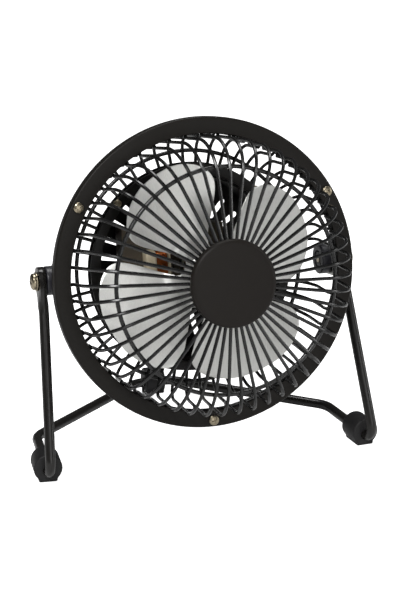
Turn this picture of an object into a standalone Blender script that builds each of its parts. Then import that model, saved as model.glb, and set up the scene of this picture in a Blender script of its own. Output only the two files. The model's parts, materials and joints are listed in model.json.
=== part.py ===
"""Small tilting desk fan with a wire cage, a shaded-pole motor and a bent-tube stand.

Metres, +Z up, +X to the fan's left hand as it faces -Y. The origin is the middle of the whole
object's footprint, on the table. The head's pieces are laid out in the head's own frame, whose
origin is the middle of the pivot axis and whose Y axis is the fan's axis, pointing backwards.
"""
import bpy
import bmesh
from math import acos, atan2, cos, degrees, pi, radians, sin, sqrt, tan
from mathutils import Matrix, Vector

for old in list(bpy.data.objects):
    bpy.data.objects.remove(old, do_unlink=True)

# ---------------------------------------------------------------- driving dimensions
GAP = 0.0003            # between pieces that touch
RUNNING = 0.00008       # radial, between the shaft and its bushes
SIDES = 16              # facets of a small round piece

REST_TILT = radians(8.9)    # head looks this far up at rest
PIVOT_HEIGHT = 0.091
RING_RADIUS = 0.075
RING_SHEET = 0.0009
RING_FLANGE = 0.008
RING_DEPTH = 0.006
FLANGE_AHEAD = 0.020        # flange front, ahead of the pivot axis

WIRE_COUNT = 52
WIRE = 0.0017               # side of a cage wire
CAGE_INSET = 0.0094         # the straight side wires, inside the ring's radius
CAGE_CORNER = 0.0180        # front cage's rounded corner
REAR_CORNER = 0.0080
FRONT_CAGE_HEIGHT = 0.0350  # inner end of the front wires, ahead of the flange
FRONT_CAGE_SAG = 0.0027     # how much lower the wires are where the corner starts
FRONT_RING_INSET = 0.0125   # the front cage's middle ring, inside the side wires
CAGE_LEAN = radians(2.5) / 0.032    # angle that the wires gain for each metre backwards
REAR_CAGE_DEPTH = 0.0275    # radial rear wires, behind the flange front
HOOP = 0.0020               # side of the cages' outer hoops

CAP_RADIUS = 0.0205
CAP_FRONT = 0.0397          # ahead of the flange front
CAP_WALL = 0.0014

TIP_CLEARANCE = 0.0111      # blade tips to the middle of the side wires
BLADE_COUNT = 4
BLADE_SHEET = 0.0009
BLADE_PLANE = -0.0010       # behind the flange front: just ahead of it
BLADE_PITCH = radians(20)
BLADE_ROOT_HALF = radians(26)   # half of a blade's angle at its root
BLADE_SPREAD = radians(11.5)    # what it gains towards its widest place
BLADE_WIDEST = 0.65             # share of its length
BLADE_PHASE = radians(27)
BLADE_ROOT = 0.0125
BLADE_TWISTED = 0.22        # share of its length by which a blade has its full pitch
HUB_RADIUS = 0.0065
HUB_LENGTH = 0.0085
RIVET_CIRCLE = 0.0092
RIVET_RADIUS = 0.0009
RIVET_HEAD = 0.0016
RIVET_HEAD_TALL = 0.0008
HUB_MARGIN = 0.0022         # hub flange beyond the rivets' circle
GRUB_RADIUS = 0.0015

SHAFT_RADIUS = 0.0015
ROTOR_RADIUS = 0.0085
AIR_GAP = 0.0004
STACK_START = 0.030         # front of the lamination stack, behind the flange front
STACK_THICK = 0.012
YOKE_OUT = 0.0100           # laminations beyond the coil's window
YOKE_IN = 0.0091            # laminations round the rotor's bore, on the side without a coil
STACK_MARGIN = 0.0037       # laminations beyond the motor screws
CORE_TALL = 0.006           # core bar, which lies along X through the coil
CORE_SEAT_OUT = 0.003       # how far its ends are let into the frame
CORE_SEAT_IN = 0.0010
WINDOW_LENGTH = 0.0128
BORE_WALL = 0.0023          # laminations between the rotor's bore and the coil's window
WINDOW_HALF = 0.0100
BOBBIN_END = 0.0050         # terminal end of the bobbin, on the outer side
BOBBIN_CHEEK = 0.0012
BOBBIN_WALL = 0.0010
SCREW_CLEARANCE = 0.0058    # motor screws beyond the bridge's inner face
MOTOR_SCREW_RADIUS = 0.0015
BRACKET_SHEET = 0.0015
BRACKET_RISE = 0.0047       # height of the bearing bridge over the stack
BRACKET_HALF_WIDE = 0.0055
BRIDGE_CLEARANCE = 0.0030   # rotor to the inner face of the bridge's upright walls
BEARING_RADIUS = 0.0040
BEARING_LENGTH = 0.0062
THRUST_RADIUS = 0.0030
THRUST_SHEET = 0.0005
LOOP_CLEARANCE = 0.0015     # shading loop to the rotor
LOOP_TALL = 0.0048
LOOP_WIRE = 0.0012
LOOP_ANGLES = (60, 240)
MOTOR_HEAD = 0.0024
MOTOR_HEAD_TALL = 0.0016

CUP_RADIUS = 0.0467
CUP_WALL = 0.0012
CUP_BACK = 0.0535            # behind the flange front
CUP_ROUND = 0.006
CUP_BOSS = 0.0036
CUP_BRIM = 0.0053           # width of the flange that the cage rests on
SLOT_COUNT = 26
SLOT_WIDE = 0.0028
SLOT_INNER = 0.0280
SLOT_MARGIN = 0.0007        # slots to the start of the rounded edge
CLAMP_SHEET = 0.0014
CLAMP_SCREW_OUT = 0.0033    # clamp screws beyond the housing's side
CLAMP_SCREW_GAP = 6         # the first clamp screw sits between this rear wire and the next
CLAMP_SCREW_RADIUS = 0.0012
CLAMP_HEAD = 0.0019
CLAMP_HEAD_TALL = 0.0012
CLAMP_MARGIN = 0.0006       # clamp ring inside the housing's flange

FLANGE_SCREW_INSET = 0.0035 # flange screws inside the ring's radius
FLANGE_SCREW_ANGLES = (30, 150, 270)
FLANGE_SCREW_RADIUS = 0.0014
FLANGE_HEAD = 0.0025
FLANGE_HEAD_TALL = 0.0014

PIVOT_SCREW_RADIUS = 0.0020
TAB_INSET = 0.0056          # inner face of the pivot tab, inside the ring's radius
TAB_SHEET = 0.0015
TAB_HALF = 0.0080
SPACER_RADIUS = 0.0070
SPACER_LENGTH = 0.0042
WASHER_SHEET = 0.0007
WASHER_RADIUS = 0.0046
PIVOT_HEAD = 0.0040
PIVOT_HEAD_TALL = 0.0022

TUBE_RADIUS = 0.0025
EYE_THICK = 0.0033
EYE_NECK = 0.0160           # pivot to the start of the round tube
FOOT_SPREAD = 0.00485       # front end of the rail, outside the tube's eye
LEG_TOE = 0.0381            # where the leg's line meets the rail's, ahead of the pivot
RAIL_HEIGHT = 0.0057
RAIL_SPREAD = 0.00055       # back end of the rail, outside the tube's eye
RAIL_BACK_Y = 0.0151
APEX_HALF = 0.0100
APEX_Y = 0.0750
LEG_BEND = 0.0060
RAIL_BEND = 0.0120
APEX_BEND = 0.0120
FOOT_RADIUS = 0.0069
FOOT_RAISE = 0.0012         # sleeve centre above the tube's
FOOT_LENGTH = 0.0130
SOLE_HALF = 0.0044
REAR_FOOT_LENGTH = 0.0105

SWITCH_X = 0.0310
SWITCH_HALF_WIDE = 0.0044
SWITCH_HALF_TALL = 0.0072
SWITCH_BODY_DEPTH = 0.0100
BEZEL = 0.0013
ROCKER_ARC = 0.0054
ROCKER_HALF_WIDE = 0.0028
ROCKER_SWING = radians(8)
GLAND_Z = -0.0330
GLAND_HOLE = 0.0039
GLAND_BORE = 0.0025


def behind(distance):
    """Head Y of a plane that lies this far behind the flange's front face."""
    return distance - FLANGE_AHEAD


CAGE_RADIUS = RING_RADIUS - CAGE_INSET
FRONT_RING_RADIUS = CAGE_RADIUS - FRONT_RING_INSET
BLADE_RADIUS = CAGE_RADIUS - TIP_CLEARANCE
FLANGE_SCREW_CIRCLE = RING_RADIUS - FLANGE_SCREW_INSET
TAB_FACE = RING_RADIUS - TAB_INSET
CUP_FLANGE = CUP_RADIUS + CUP_BRIM
CLAMP_SCREW_CIRCLE = CUP_RADIUS + CLAMP_SCREW_OUT
SLOT_OUTER = CUP_RADIUS - CUP_ROUND - SLOT_MARGIN
WINDOW_RIGHT = -(ROTOR_RADIUS + AIR_GAP + BORE_WALL)
WINDOW_LEFT = WINDOW_RIGHT - WINDOW_LENGTH
STACK_LEFT = WINDOW_LEFT - YOKE_OUT
STACK_RIGHT = ROTOR_RADIUS + AIR_GAP + YOKE_IN
BRACKET_SPAN = ROTOR_RADIUS + BRIDGE_CLEARANCE
MOTOR_SCREW_Z = BRACKET_SPAN + SCREW_CLEARANCE
STACK_HALF = MOTOR_SCREW_Z + STACK_MARGIN
LOOP_IN = ROTOR_RADIUS + LOOP_CLEARANCE
LOOP_OUT = LOOP_IN + LOOP_TALL
FRONT_REACH = (FLANGE_AHEAD + CAP_FRONT) * cos(REST_TILT) + CAP_RADIUS * sin(REST_TILT)
PIVOT_Y = (FRONT_REACH - APEX_Y - FOOT_RADIUS) / 2


# ---------------------------------------------------------------- materials
def finish(name, colour, roughness, metallic=0.0):
    material = bpy.data.materials.new(name)
    material.use_nodes = True
    shader = material.node_tree.nodes["Principled BSDF"]
    shader.inputs["Base Color"].default_value = (*colour, 1.0)
    shader.inputs["Roughness"].default_value = roughness
    shader.inputs["Metallic"].default_value = metallic
    return material


RING_PAINT = finish("ring_paint", (0.020, 0.018, 0.015), 0.42)
WIRE_PAINT = finish("wire_paint", (0.012, 0.012, 0.012), 0.25)
CAP_PLASTIC = finish("cap_plastic", (0.024, 0.020, 0.017), 0.45)
BLADE_METAL = finish("blade_metal", (0.60, 0.60, 0.58), 0.38, 1.0)
NICKEL = finish("nickel", (0.45, 0.40, 0.30), 0.30, 1.0)
DARK_PLASTIC = finish("dark_plastic", (0.022, 0.022, 0.028), 0.5)
TUBE_PAINT = finish("tube_paint", (0.014, 0.013, 0.012), 0.28)
RUBBER = finish("rubber", (0.018, 0.017, 0.018), 0.7)
HOUSING_PAINT = finish("housing_paint", (0.016, 0.015, 0.014), 0.5)
ZINC_STEEL = finish("zinc_steel", (0.42, 0.42, 0.40), 0.4, 1.0)
STACK_STEEL = finish("stack_steel", (0.16, 0.14, 0.11), 0.5, 0.8)
COPPER = finish("copper", (0.55, 0.20, 0.07), 0.35, 1.0)
BOBBIN_NYLON = finish("bobbin_nylon", (0.72, 0.62, 0.45), 0.5)
BRONZE = finish("bronze", (0.45, 0.30, 0.13), 0.4, 1.0)
SWITCH_PLASTIC = finish("switch_plastic", (0.015, 0.015, 0.015), 0.35)


# ---------------------------------------------------------------- frames
def empty(name, location, parent=None):
    marker = bpy.data.objects.new(name, None)
    bpy.context.scene.collection.objects.link(marker)
    marker.location = location
    marker.parent = parent
    return marker


HEAD = empty("head_pivot", (0, PIVOT_Y, PIVOT_HEIGHT))
HEAD.rotation_euler = (-REST_TILT, 0, 0)
SPINDLE = empty("spindle", (0, behind(BLADE_PLANE), 0), HEAD)
ROCKER_PIN = empty("rocker_pin", (SWITCH_X, behind(CUP_BACK), 0), HEAD)
STAND = empty("stand_origin", (0, PIVOT_Y, 0))


# ---------------------------------------------------------------- shaping
def add(name, bm, material, parent, smooth=True):
    """Close off a bmesh as a named object with its faces pointing out."""
    bmesh.ops.remove_doubles(bm, verts=bm.verts, dist=1e-6)
    bmesh.ops.recalc_face_normals(bm, faces=bm.faces)
    mesh = bpy.data.meshes.new(name)
    bm.to_mesh(mesh)
    bm.free()
    mesh.materials.append(material)
    if smooth:
        mesh.shade_smooth()
        mesh.set_sharp_from_angle(angle=radians(35))
    piece = bpy.data.objects.new(name, mesh)
    bpy.context.scene.collection.objects.link(piece)
    piece.parent = parent
    return piece


def spun(profile, sides, closed=True):
    """Turn a profile of (radius, y) points about the Y axis; its ends may lie on the axis."""
    bm = bmesh.new()
    corners = [bm.verts.new((r, y, 0)) for r, y in profile]
    lines = [bm.edges.new(pair) for pair in zip(corners, corners[1:])]
    if closed:
        lines.append(bm.edges.new((corners[-1], corners[0])))
    bmesh.ops.spin(bm, geom=corners + lines, cent=(0, 0, 0), axis=(0, 1, 0), angle=2 * pi,
                   steps=sides, use_merge=True)
    return bm


def turned(name, profile, material, parent, sides=SIDES, closed=True):
    return add(name, spun(profile, sides, closed), material, parent)


def prism(outline, low, high, along="Y"):
    """Extrude an outline of (a, b) points from low to high along an axis."""
    place = {"Y": lambda a, b, c: (a, c, b), "X": lambda a, b, c: (c, a, b),
             "Z": lambda a, b, c: (a, b, c)}[along]
    bm = bmesh.new()
    base = bm.faces.new([bm.verts.new(place(a, b, low)) for a, b in outline])
    grown = bmesh.ops.extrude_face_region(bm, geom=[base])["geom"]
    moved = [v for v in grown if isinstance(v, bmesh.types.BMVert)]
    bmesh.ops.translate(bm, verts=moved, vec=place(0, 0, high - low))
    bmesh.ops.recalc_face_normals(bm, faces=bm.faces)
    return bm


def block(low, high):
    outline = [(low[0], low[2]), (high[0], low[2]), (high[0], high[2]), (low[0], high[2])]
    return prism(outline, low[1], high[1])


def drum(radius, low, high, sides=SIDES, centre=(0, 0), along="Y"):
    outline = [(centre[0] + radius * cos(2 * pi * k / sides),
                centre[1] + radius * sin(2 * pi * k / sides)) for k in range(sides)]
    return prism(outline, low, high, along)


def apply_boolean(piece, tool_bm, operation, label):
    """Keep the cutter or the added shape as a hidden guide, and use it on the piece."""
    guide = add(piece.name + "_" + label, tool_bm, piece.data.materials[0], piece, smooth=False)
    guide.hide_render = True
    guide.display_type = "WIRE"
    step = piece.modifiers.new(label, "BOOLEAN")
    step.operation = operation
    step.solver = "EXACT"
    step.object = guide
    return piece


def cut(piece, tool_bm, label):
    return apply_boolean(piece, tool_bm, "DIFFERENCE", label)


def join(piece, tool_bm, label):
    return apply_boolean(piece, tool_bm, "UNION", label)


def arc(centre, radius, start, end, steps):
    """Points on a round stretch, both ends included; angles in degrees."""
    points = []
    for k in range(steps + 1):
        a = radians(start + (end - start) * k / steps)
        points.append((centre[0] + radius * cos(a), centre[1] + radius * sin(a)))
    return points


# ---------------------------------------------------------------- cages
def cage(name, path, rings, skipped=()):
    """Square wires that follow one path of (radius, y) round the axis, joined by rings.

    rings are the path's stretches, by number, where a ring joins each wire to the next, as wide
    as that stretch. skipped wires are left out, and the rings bridge the space.
    """
    bm = bmesh.new()
    half = WIRE / 2
    corners = ((1, 1), (1, -1), (-1, -1), (-1, 1))
    wires = []
    for k in range(WIRE_COUNT):
        if k in skipped:
            continue
        stations = []
        for n, (radius, y) in enumerate(path):
            a = 2 * pi * k / WIRE_COUNT + CAGE_LEAN * (y - behind(0))
            out = Vector((cos(a), 0, sin(a)))
            side = Vector((-sin(a), 0, cos(a)))
            before = Vector(path[max(n - 1, 0)])
            after = Vector(path[min(n + 1, len(path) - 1)])
            run = (after - before).normalized()
            across = Vector((0, 1, 0)) * run.x - out * run.y
            middle = out * radius + Vector((0, y, 0))
            stations.append([bm.verts.new(middle + half * (across * u + side * v))
                             for u, v in corners])
        for n, (one, two) in enumerate(zip(stations, stations[1:])):
            for c in range(4):
                if n in rings and c in (1, 3):
                    continue
                d = (c + 1) % 4
                bm.faces.new((one[c], one[d], two[d], two[c]))
        bm.faces.new(stations[0])
        bm.faces.new(stations[-1])
        wires.append(stations)
    for here, following in zip(wires, wires[1:] + wires[:1]):
        for n in rings:
            near = (here[n][0], here[n][3], here[n + 1][3], here[n + 1][0])
            far = (following[n][1], following[n][2], following[n + 1][2], following[n + 1][1])
            for c in range(4):
                d = (c + 1) % 4
                bm.faces.new((near[c], near[d], far[d], far[c]))
    return add(name, bm, WIRE_PAINT, HEAD)


HOOP_RADIUS = RING_RADIUS - RING_FLANGE + WIRE / 2 - 0.0002
HOOP_START = RING_SHEET + 4 * GAP
REAR_HOOP_START = HOOP_START + HOOP + GAP
FRONT_WIRES = behind(-FRONT_CAGE_HEIGHT)
CORNER_START = FRONT_WIRES + FRONT_CAGE_SAG
HUB_RING = 0.0143           # inner ends of the front wires
REAR_OVERHANG = 0.0005      # inner ends of the rear wires, inside the housing's side
REAR_INNER = CUP_RADIUS - REAR_OVERHANG
PIVOT_SPACE = (0, WIRE_COUNT // 2 - 1, WIRE_COUNT // 2, WIRE_COUNT - 1)


def front_grille():
    flat_end = CAGE_RADIUS - CAGE_CORNER
    middle = (flat_end, CORNER_START + CAGE_CORNER)
    ring_in, ring_out = (-degrees(acos((FRONT_RING_RADIUS + move - flat_end) / CAGE_CORNER))
                         for move in (-HOOP / 2, HOOP / 2))
    hub_end = FRONT_WIRES + FRONT_CAGE_SAG * HOOP / (flat_end - HUB_RING)
    path = [(HUB_RING, FRONT_WIRES), (HUB_RING + HOOP, hub_end)]
    path += arc(middle, CAGE_CORNER, ring_in, ring_out, 1)
    path += arc(middle, CAGE_CORNER, ring_out / 2, 0, 1)
    path += [(CAGE_RADIUS, behind(RING_SHEET)), (HOOP_RADIUS, behind(HOOP_START)),
             (HOOP_RADIUS, behind(HOOP_START + HOOP))]
    return cage("front_grille", path, (0, 2, 7))


def rear_grille():
    """Two wires beside each pivot are left out, which makes room for the pivot bosses."""
    flat_end = CAGE_RADIUS - REAR_CORNER
    path = [(HOOP_RADIUS, behind(REAR_HOOP_START)), (HOOP_RADIUS, behind(REAR_HOOP_START + HOOP)),
            (CAGE_RADIUS, behind(REAR_HOOP_START + 1.2 * HOOP))]
    path += arc((flat_end, behind(REAR_CAGE_DEPTH) - REAR_CORNER), REAR_CORNER, 0, 90, 2)
    path += [(r, behind(REAR_CAGE_DEPTH))
             for r in (flat_end - HOOP, REAR_INNER + HOOP, REAR_INNER)]
    return cage("rear_grille", path, (0, 5, 7), skipped=PIVOT_SPACE)


# ---------------------------------------------------------------- fasteners
def bolt(name, place, head, tall, shank, length, material=NICKEL, parent=HEAD, sides=10):
    """Pan-head screw that points along its own +Y, with the underside of its head at y = 0."""
    profile = [(0, -tall), (0.55 * head, -tall), (head, -0.4 * tall), (head, 0), (shank, 0),
               (shank, length), (0, length)]
    bm = spun(profile, sides, closed=False)
    bmesh.ops.transform(bm, matrix=place, verts=bm.verts)
    return add(name, bm, material, parent)


def at(x, y, z):
    return Matrix.Translation((x, y, z))


def on_circle(radius, angle):
    """The x and z of a place on a circle round the axis; angle in degrees."""
    return radius * cos(radians(angle)), radius * sin(radians(angle))


def together(*shapes):
    """One bmesh that holds several separate shapes, for a cutter."""
    whole = bmesh.new()
    for shape in shapes:
        mesh = bpy.data.meshes.new("tool")
        shape.to_mesh(mesh)
        shape.free()
        whole.from_mesh(mesh)
        bpy.data.meshes.remove(mesh)
    return whole


# ---------------------------------------------------------------- ring, cap and their fasteners
CLIP_FRONT = REAR_HOOP_START + HOOP + WIRE / 2
CLIP_SHEET = 0.0012
CLIP_HALF = 0.0042
CLIP_INNER = HOOP_RADIUS - 0.0001


def front_ring():
    inner = RING_RADIUS - RING_FLANGE
    edge = 0.0006
    profile = [(inner, behind(0)), (RING_RADIUS - 2 * edge, behind(0)),
               (RING_RADIUS, behind(2 * edge)), (RING_RADIUS, behind(RING_DEPTH)),
               (RING_RADIUS - RING_SHEET, behind(RING_DEPTH)),
               (RING_RADIUS - RING_SHEET, behind(RING_SHEET)), (inner, behind(RING_SHEET))]
    ring = turned("front_ring", profile, RING_PAINT, HEAD, sides=60)
    holes = [drum(FLANGE_SCREW_RADIUS + GAP, behind(-0.002), behind(0.004), 12,
                  on_circle(FLANGE_SCREW_CIRCLE, a)) for a in FLANGE_SCREW_ANGLES]
    return cut(ring, together(*holes), "screw_holes")


def flange_fixings():
    for number, angle in enumerate(FLANGE_SCREW_ANGLES, start=1):
        x, z = on_circle(FLANGE_SCREW_CIRCLE, angle)
        bolt(f"flange_screw_{number}", at(x, behind(-GAP), z), FLANGE_HEAD, FLANGE_HEAD_TALL,
             FLANGE_SCREW_RADIUS, CLIP_FRONT + CLIP_SHEET + 0.001)
        outer = RING_RADIUS - RING_SHEET - 2 * GAP
        clip_bm = block((CLIP_INNER, behind(CLIP_FRONT), -CLIP_HALF),
                        (outer, behind(CLIP_FRONT + CLIP_SHEET), CLIP_HALF))
        turn = Matrix.Rotation(-radians(angle), 4, "Y")
        bmesh.ops.transform(clip_bm, matrix=turn, verts=clip_bm.verts)
        clip = add(f"grille_clip_{number}", clip_bm, ZINC_STEEL, HEAD)
        cut(clip, drum(FLANGE_SCREW_RADIUS + GAP, behind(CLIP_FRONT - 0.001),
                       behind(CLIP_FRONT + CLIP_SHEET + 0.001), 12, (x, z)), "screw_hole")


PLATE_FRONT = -FRONT_CAGE_HEIGHT + WIRE / 2 + GAP
PLATE_SHEET = 0.0010
PLATE_RADIUS = 0.0175
CAP_BOSS = 0.0038
CAP_BEVEL = 0.0030
CAP_HEAD = 0.0029
CAP_HEAD_TALL = 0.0016
CAP_SCREW_RADIUS = 0.0014


def front_cap():
    front = behind(-CAP_FRONT)
    back = behind(-FRONT_CAGE_HEIGHT - WIRE / 2 - GAP)
    boss_end = behind(PLATE_FRONT) - GAP
    rim = CAP_RADIUS - CAP_WALL
    floor = front + CAP_WALL
    profile = [(0, front), (CAP_RADIUS - CAP_BEVEL, front), (CAP_RADIUS, front + CAP_BEVEL / 2),
               (CAP_RADIUS, back), (rim, back), (rim, floor), (CAP_BOSS, floor),
               (CAP_BOSS, boss_end),
               (CAP_SCREW_RADIUS + GAP, boss_end), (CAP_SCREW_RADIUS + GAP, floor), (0, floor)]
    turned("front_cap", profile, CAP_PLASTIC, HEAD, sides=28, closed=False)
    hole = CAP_SCREW_RADIUS + GAP
    plate = sleeve(hole, PLATE_RADIUS, behind(PLATE_FRONT), behind(PLATE_FRONT + PLATE_SHEET))
    turned("cap_backing_plate", plate, WIRE_PAINT, HEAD, sides=24)
    seat = behind(PLATE_FRONT + PLATE_SHEET) + GAP
    bolt("cap_screw", at(0, seat, 0) @ Matrix.Rotation(pi, 4, "Z"), CAP_HEAD, CAP_HEAD_TALL,
         CAP_SCREW_RADIUS, seat - floor - GAP)


# ---------------------------------------------------------------- pivots
SPACER_START = TAB_FACE + TAB_SHEET + GAP
EYE_START = SPACER_START + SPACER_LENGTH + GAP
EYE_X = EYE_START + EYE_THICK / 2
FOOT_X = EYE_X + FOOT_SPREAD        # front end of the rail, from the centre plane
RAIL_BACK_X = EYE_X + RAIL_SPREAD
WASHER_START = EYE_START + EYE_THICK + GAP
SCREW_SEAT = WASHER_START + WASHER_SHEET + GAP
NUT_HIGH = 0.0032
NUT_RADIUS = 0.00404
BOSS_RADIUS = 0.0075
BOSS_LENGTH = 0.0049


def across(profile, sign, sides=SIDES):
    """Turn a profile of (radius, distance from the centre plane) about the pivot axis."""
    bm = spun(profile, sides)
    bmesh.ops.transform(bm, matrix=Matrix.Rotation(-sign * pi / 2, 4, "Z"), verts=bm.verts)
    return bm


def sleeve(inner, outer, low, high, bevel=0.0):
    """Profile of a ring or bush from low to high, with its outer corners bevelled or sharp."""
    if not bevel:
        return [(inner, low), (outer, low), (outer, high), (inner, high)]
    return [(inner, low), (outer - bevel, low), (outer, low + bevel), (outer, high - bevel),
            (outer - bevel, high), (inner, high)]


def pivot(side, sign):
    hole = PIVOT_SCREW_RADIUS + GAP
    round_end = arc((0, 0), TAB_HALF, -90, 90, 10)
    front = behind(RING_SHEET + GAP)
    outline = [(front, TAB_HALF), (front, -TAB_HALF)] + round_end
    edges = sorted((sign * TAB_FACE, sign * (TAB_FACE + TAB_SHEET)))
    tab = add(f"pivot_bracket_{side}", prism(outline, *edges, along="X"), ZINC_STEEL, HEAD)
    inside = RING_RADIUS - RING_SHEET - GAP
    toe = sqrt(inside ** 2 - TAB_HALF ** 2) - GAP
    reach = sorted((sign * TAB_FACE, sign * toe))
    join(tab, block((reach[0], front, -TAB_HALF), (reach[1], front + TAB_SHEET, TAB_HALF)), "toe")
    ends = sorted((sign * (TAB_FACE - 0.002), sign * (TAB_FACE + 0.005)))
    cut(tab, drum(hole, *ends, along="X"), "hole")

    spacer = sleeve(hole, SPACER_RADIUS, SPACER_START, SPACER_START + SPACER_LENGTH, 0.0005)
    add(f"pivot_spacer_{side}", across(spacer, sign, 20), DARK_PLASTIC, HEAD)
    washer = sleeve(hole, WASHER_RADIUS, WASHER_START, WASHER_START + WASHER_SHEET)
    add(f"pivot_washer_{side}", across(washer, sign), NICKEL, HEAD)
    boss_end = TAB_FACE - GAP
    boss_start = boss_end - BOSS_LENGTH
    nut_start = boss_start + GAP
    pocket = NUT_RADIUS + GAP
    boss = [(hole, nut_start + NUT_HIGH + GAP), (pocket, nut_start + NUT_HIGH + GAP),
            (pocket, boss_start), (BOSS_RADIUS, boss_start), (BOSS_RADIUS, boss_end),
            (hole, boss_end)]
    add(f"pivot_boss_{side}", across(boss, sign, 20), DARK_PLASTIC, HEAD)
    nut = sleeve(hole, NUT_RADIUS, nut_start, nut_start + NUT_HIGH)
    add(f"pivot_nut_{side}", across(nut, sign, 6), HOUSING_PAINT, HEAD, smooth=False)
    place = at(sign * SCREW_SEAT, 0, 0) @ Matrix.Rotation(sign * pi / 2, 4, "Z")
    length = SCREW_SEAT - boss_start
    bolt(f"pivot_screw_{side}", place, PIVOT_HEAD, PIVOT_HEAD_TALL, PIVOT_SCREW_RADIUS, length,
         sides=SIDES)


# ---------------------------------------------------------------- blades and rotor
def half_angle(share):
    """Half of the angle that a blade spans, at this share of its length from root to tip."""
    width = BLADE_ROOT_HALF + BLADE_SPREAD * sin(min(share / BLADE_WIDEST, 1) * pi / 2)
    if share > BLADE_WIDEST:
        width *= sqrt(1 - 0.93 * ((share - BLADE_WIDEST) / (1 - BLADE_WIDEST)) ** 2.4)
    return width


def blade_surface(share, spread):
    """Radius and Y of a point of the sheet: share of the blade's length, angle from its middle."""
    radius = BLADE_ROOT + (BLADE_RADIUS - BLADE_ROOT) * share
    twisted = min(share / BLADE_TWISTED, 1)
    ramp = twisted ** 2 * (3 - 2 * twisted)
    return radius, -radius * sin(spread) * tan(BLADE_PITCH) * ramp


def fan_blades():
    bm = bmesh.new()
    shares = (0, 0.14, 0.36, 0.64, 0.86, 1)
    columns = 4
    rim, eye = [], []
    for blade in range(BLADE_COUNT):
        middle = BLADE_PHASE + 2 * pi * blade / BLADE_COUNT
        rows = []
        for share in shares:
            row = []
            for c in range(columns + 1):
                spread = half_angle(share) * (2 * c / columns - 1)
                radius, y = blade_surface(share, spread)
                a = middle + spread
                row.append(bm.verts.new((radius * cos(a), y, radius * sin(a))))
            rows.append(row)
        for low, high in zip(rows, rows[1:]):
            for c in range(columns):
                bm.faces.new((low[c], low[c + 1], high[c + 1], high[c]))
        rim += rows[0]
        for c in range(columns + 1):
            a = middle + half_angle(0) * (2 * c / columns - 1)
            r = SHAFT_RADIUS + 2 * GAP
            eye.append(bm.verts.new((r * cos(a), 0, r * sin(a))))
    for k in range(len(rim)):
        j = (k + 1) % len(rim)
        bm.faces.new((rim[k], rim[j], eye[j], eye[k]))
    blades = add("fan_blades", bm, BLADE_METAL, SPINDLE)
    sheet = blades.modifiers.new("sheet", "SOLIDIFY")
    sheet.thickness = BLADE_SHEET
    sheet.offset = 0
    holes = [drum(RIVET_RADIUS + GAP, -0.003, 0.003, 10, on_circle(RIVET_CIRCLE, 45 + 90 * k))
             for k in range(4)]
    return cut(blades, together(*holes), "rivet_holes")


HUB_START = BLADE_SHEET / 2 + GAP      # behind the blade sheet's middle
HUB_FLANGE = 0.0013
ROTOR_START = STACK_START - 0.001
ROTOR_END = STACK_START + STACK_THICK + 0.001


def spindle_y(distance):
    """Y on the spindle of a plane that lies this far behind the flange's front face."""
    return distance - BLADE_PLANE


def rotor_pieces():
    bore = SHAFT_RADIUS + GAP
    turned("rotor_shaft", [(0, -0.0019), (SHAFT_RADIUS - 0.0003, -0.0019), (SHAFT_RADIUS, -0.0016),
                           (SHAFT_RADIUS, spindle_y(SHAFT_END)),
                           (0, spindle_y(SHAFT_END))], ZINC_STEEL, SPINDLE, closed=False)
    brim = RIVET_CIRCLE + HUB_MARGIN
    hub = turned("blade_hub", [(bore, HUB_START), (brim, HUB_START), (brim, HUB_START + HUB_FLANGE),
                               (HUB_RADIUS, HUB_START + HUB_FLANGE),
                               (HUB_RADIUS, HUB_START + HUB_LENGTH),
                               (bore, HUB_START + HUB_LENGTH)], ZINC_STEEL, SPINDLE, sides=16)
    holes = [drum(RIVET_RADIUS + GAP, -0.001, HUB_START + HUB_FLANGE + 0.001, 10,
                  on_circle(RIVET_CIRCLE, 45 + 90 * k)) for k in range(4)]
    cut(hub, together(*holes), "rivet_holes")
    grub_y = HUB_START + 0.65 * HUB_LENGTH
    cut(hub, drum(GRUB_RADIUS + GAP, 0.0005, HUB_RADIUS + 0.001, 12, (0, grub_y), "Z"), "grub_hole")
    grub = drum(GRUB_RADIUS, bore + GAP / 2, HUB_RADIUS - 0.0004, 12, (0, grub_y), "Z")
    add("hub_grub_screw", grub, ZINC_STEEL, SPINDLE)
    for k in range(4):
        x, z = on_circle(RIVET_CIRCLE, 45 + 90 * k)
        near = -BLADE_SHEET / 2 - GAP
        far = HUB_START + HUB_FLANGE + GAP
        crown, side = RIVET_HEAD_TALL, 0.6 * RIVET_HEAD
        profile = [(0, near - crown), (side, near - 0.85 * crown), (RIVET_HEAD, near),
                   (RIVET_RADIUS, near), (RIVET_RADIUS, far), (RIVET_HEAD, far),
                   (side, far + 0.85 * crown), (0, far + crown)]
        rivet = spun(profile, 10, closed=False)
        bmesh.ops.transform(rivet, matrix=at(x, 0, z), verts=rivet.verts)
        add(f"blade_rivet_{k + 1}", rivet, BLADE_METAL, SPINDLE)
    lip = 0.0007
    turned("rotor_core", [(bore, spindle_y(ROTOR_START)),
                          (ROTOR_RADIUS - lip, spindle_y(ROTOR_START)),
                          (ROTOR_RADIUS, spindle_y(ROTOR_START + lip)),
                          (ROTOR_RADIUS, spindle_y(ROTOR_END - lip)),
                          (ROTOR_RADIUS - lip, spindle_y(ROTOR_END)),
                          (bore, spindle_y(ROTOR_END))], STACK_STEEL, SPINDLE, sides=20)
    for name, start in (("front", ROTOR_START - GAP - THRUST_SHEET), ("rear", ROTOR_END + GAP)):
        ring = sleeve(bore, THRUST_RADIUS, spindle_y(start), spindle_y(start + THRUST_SHEET))
        turned(f"thrust_washer_{name}", ring, BOBBIN_NYLON, SPINDLE, sides=12)


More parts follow.
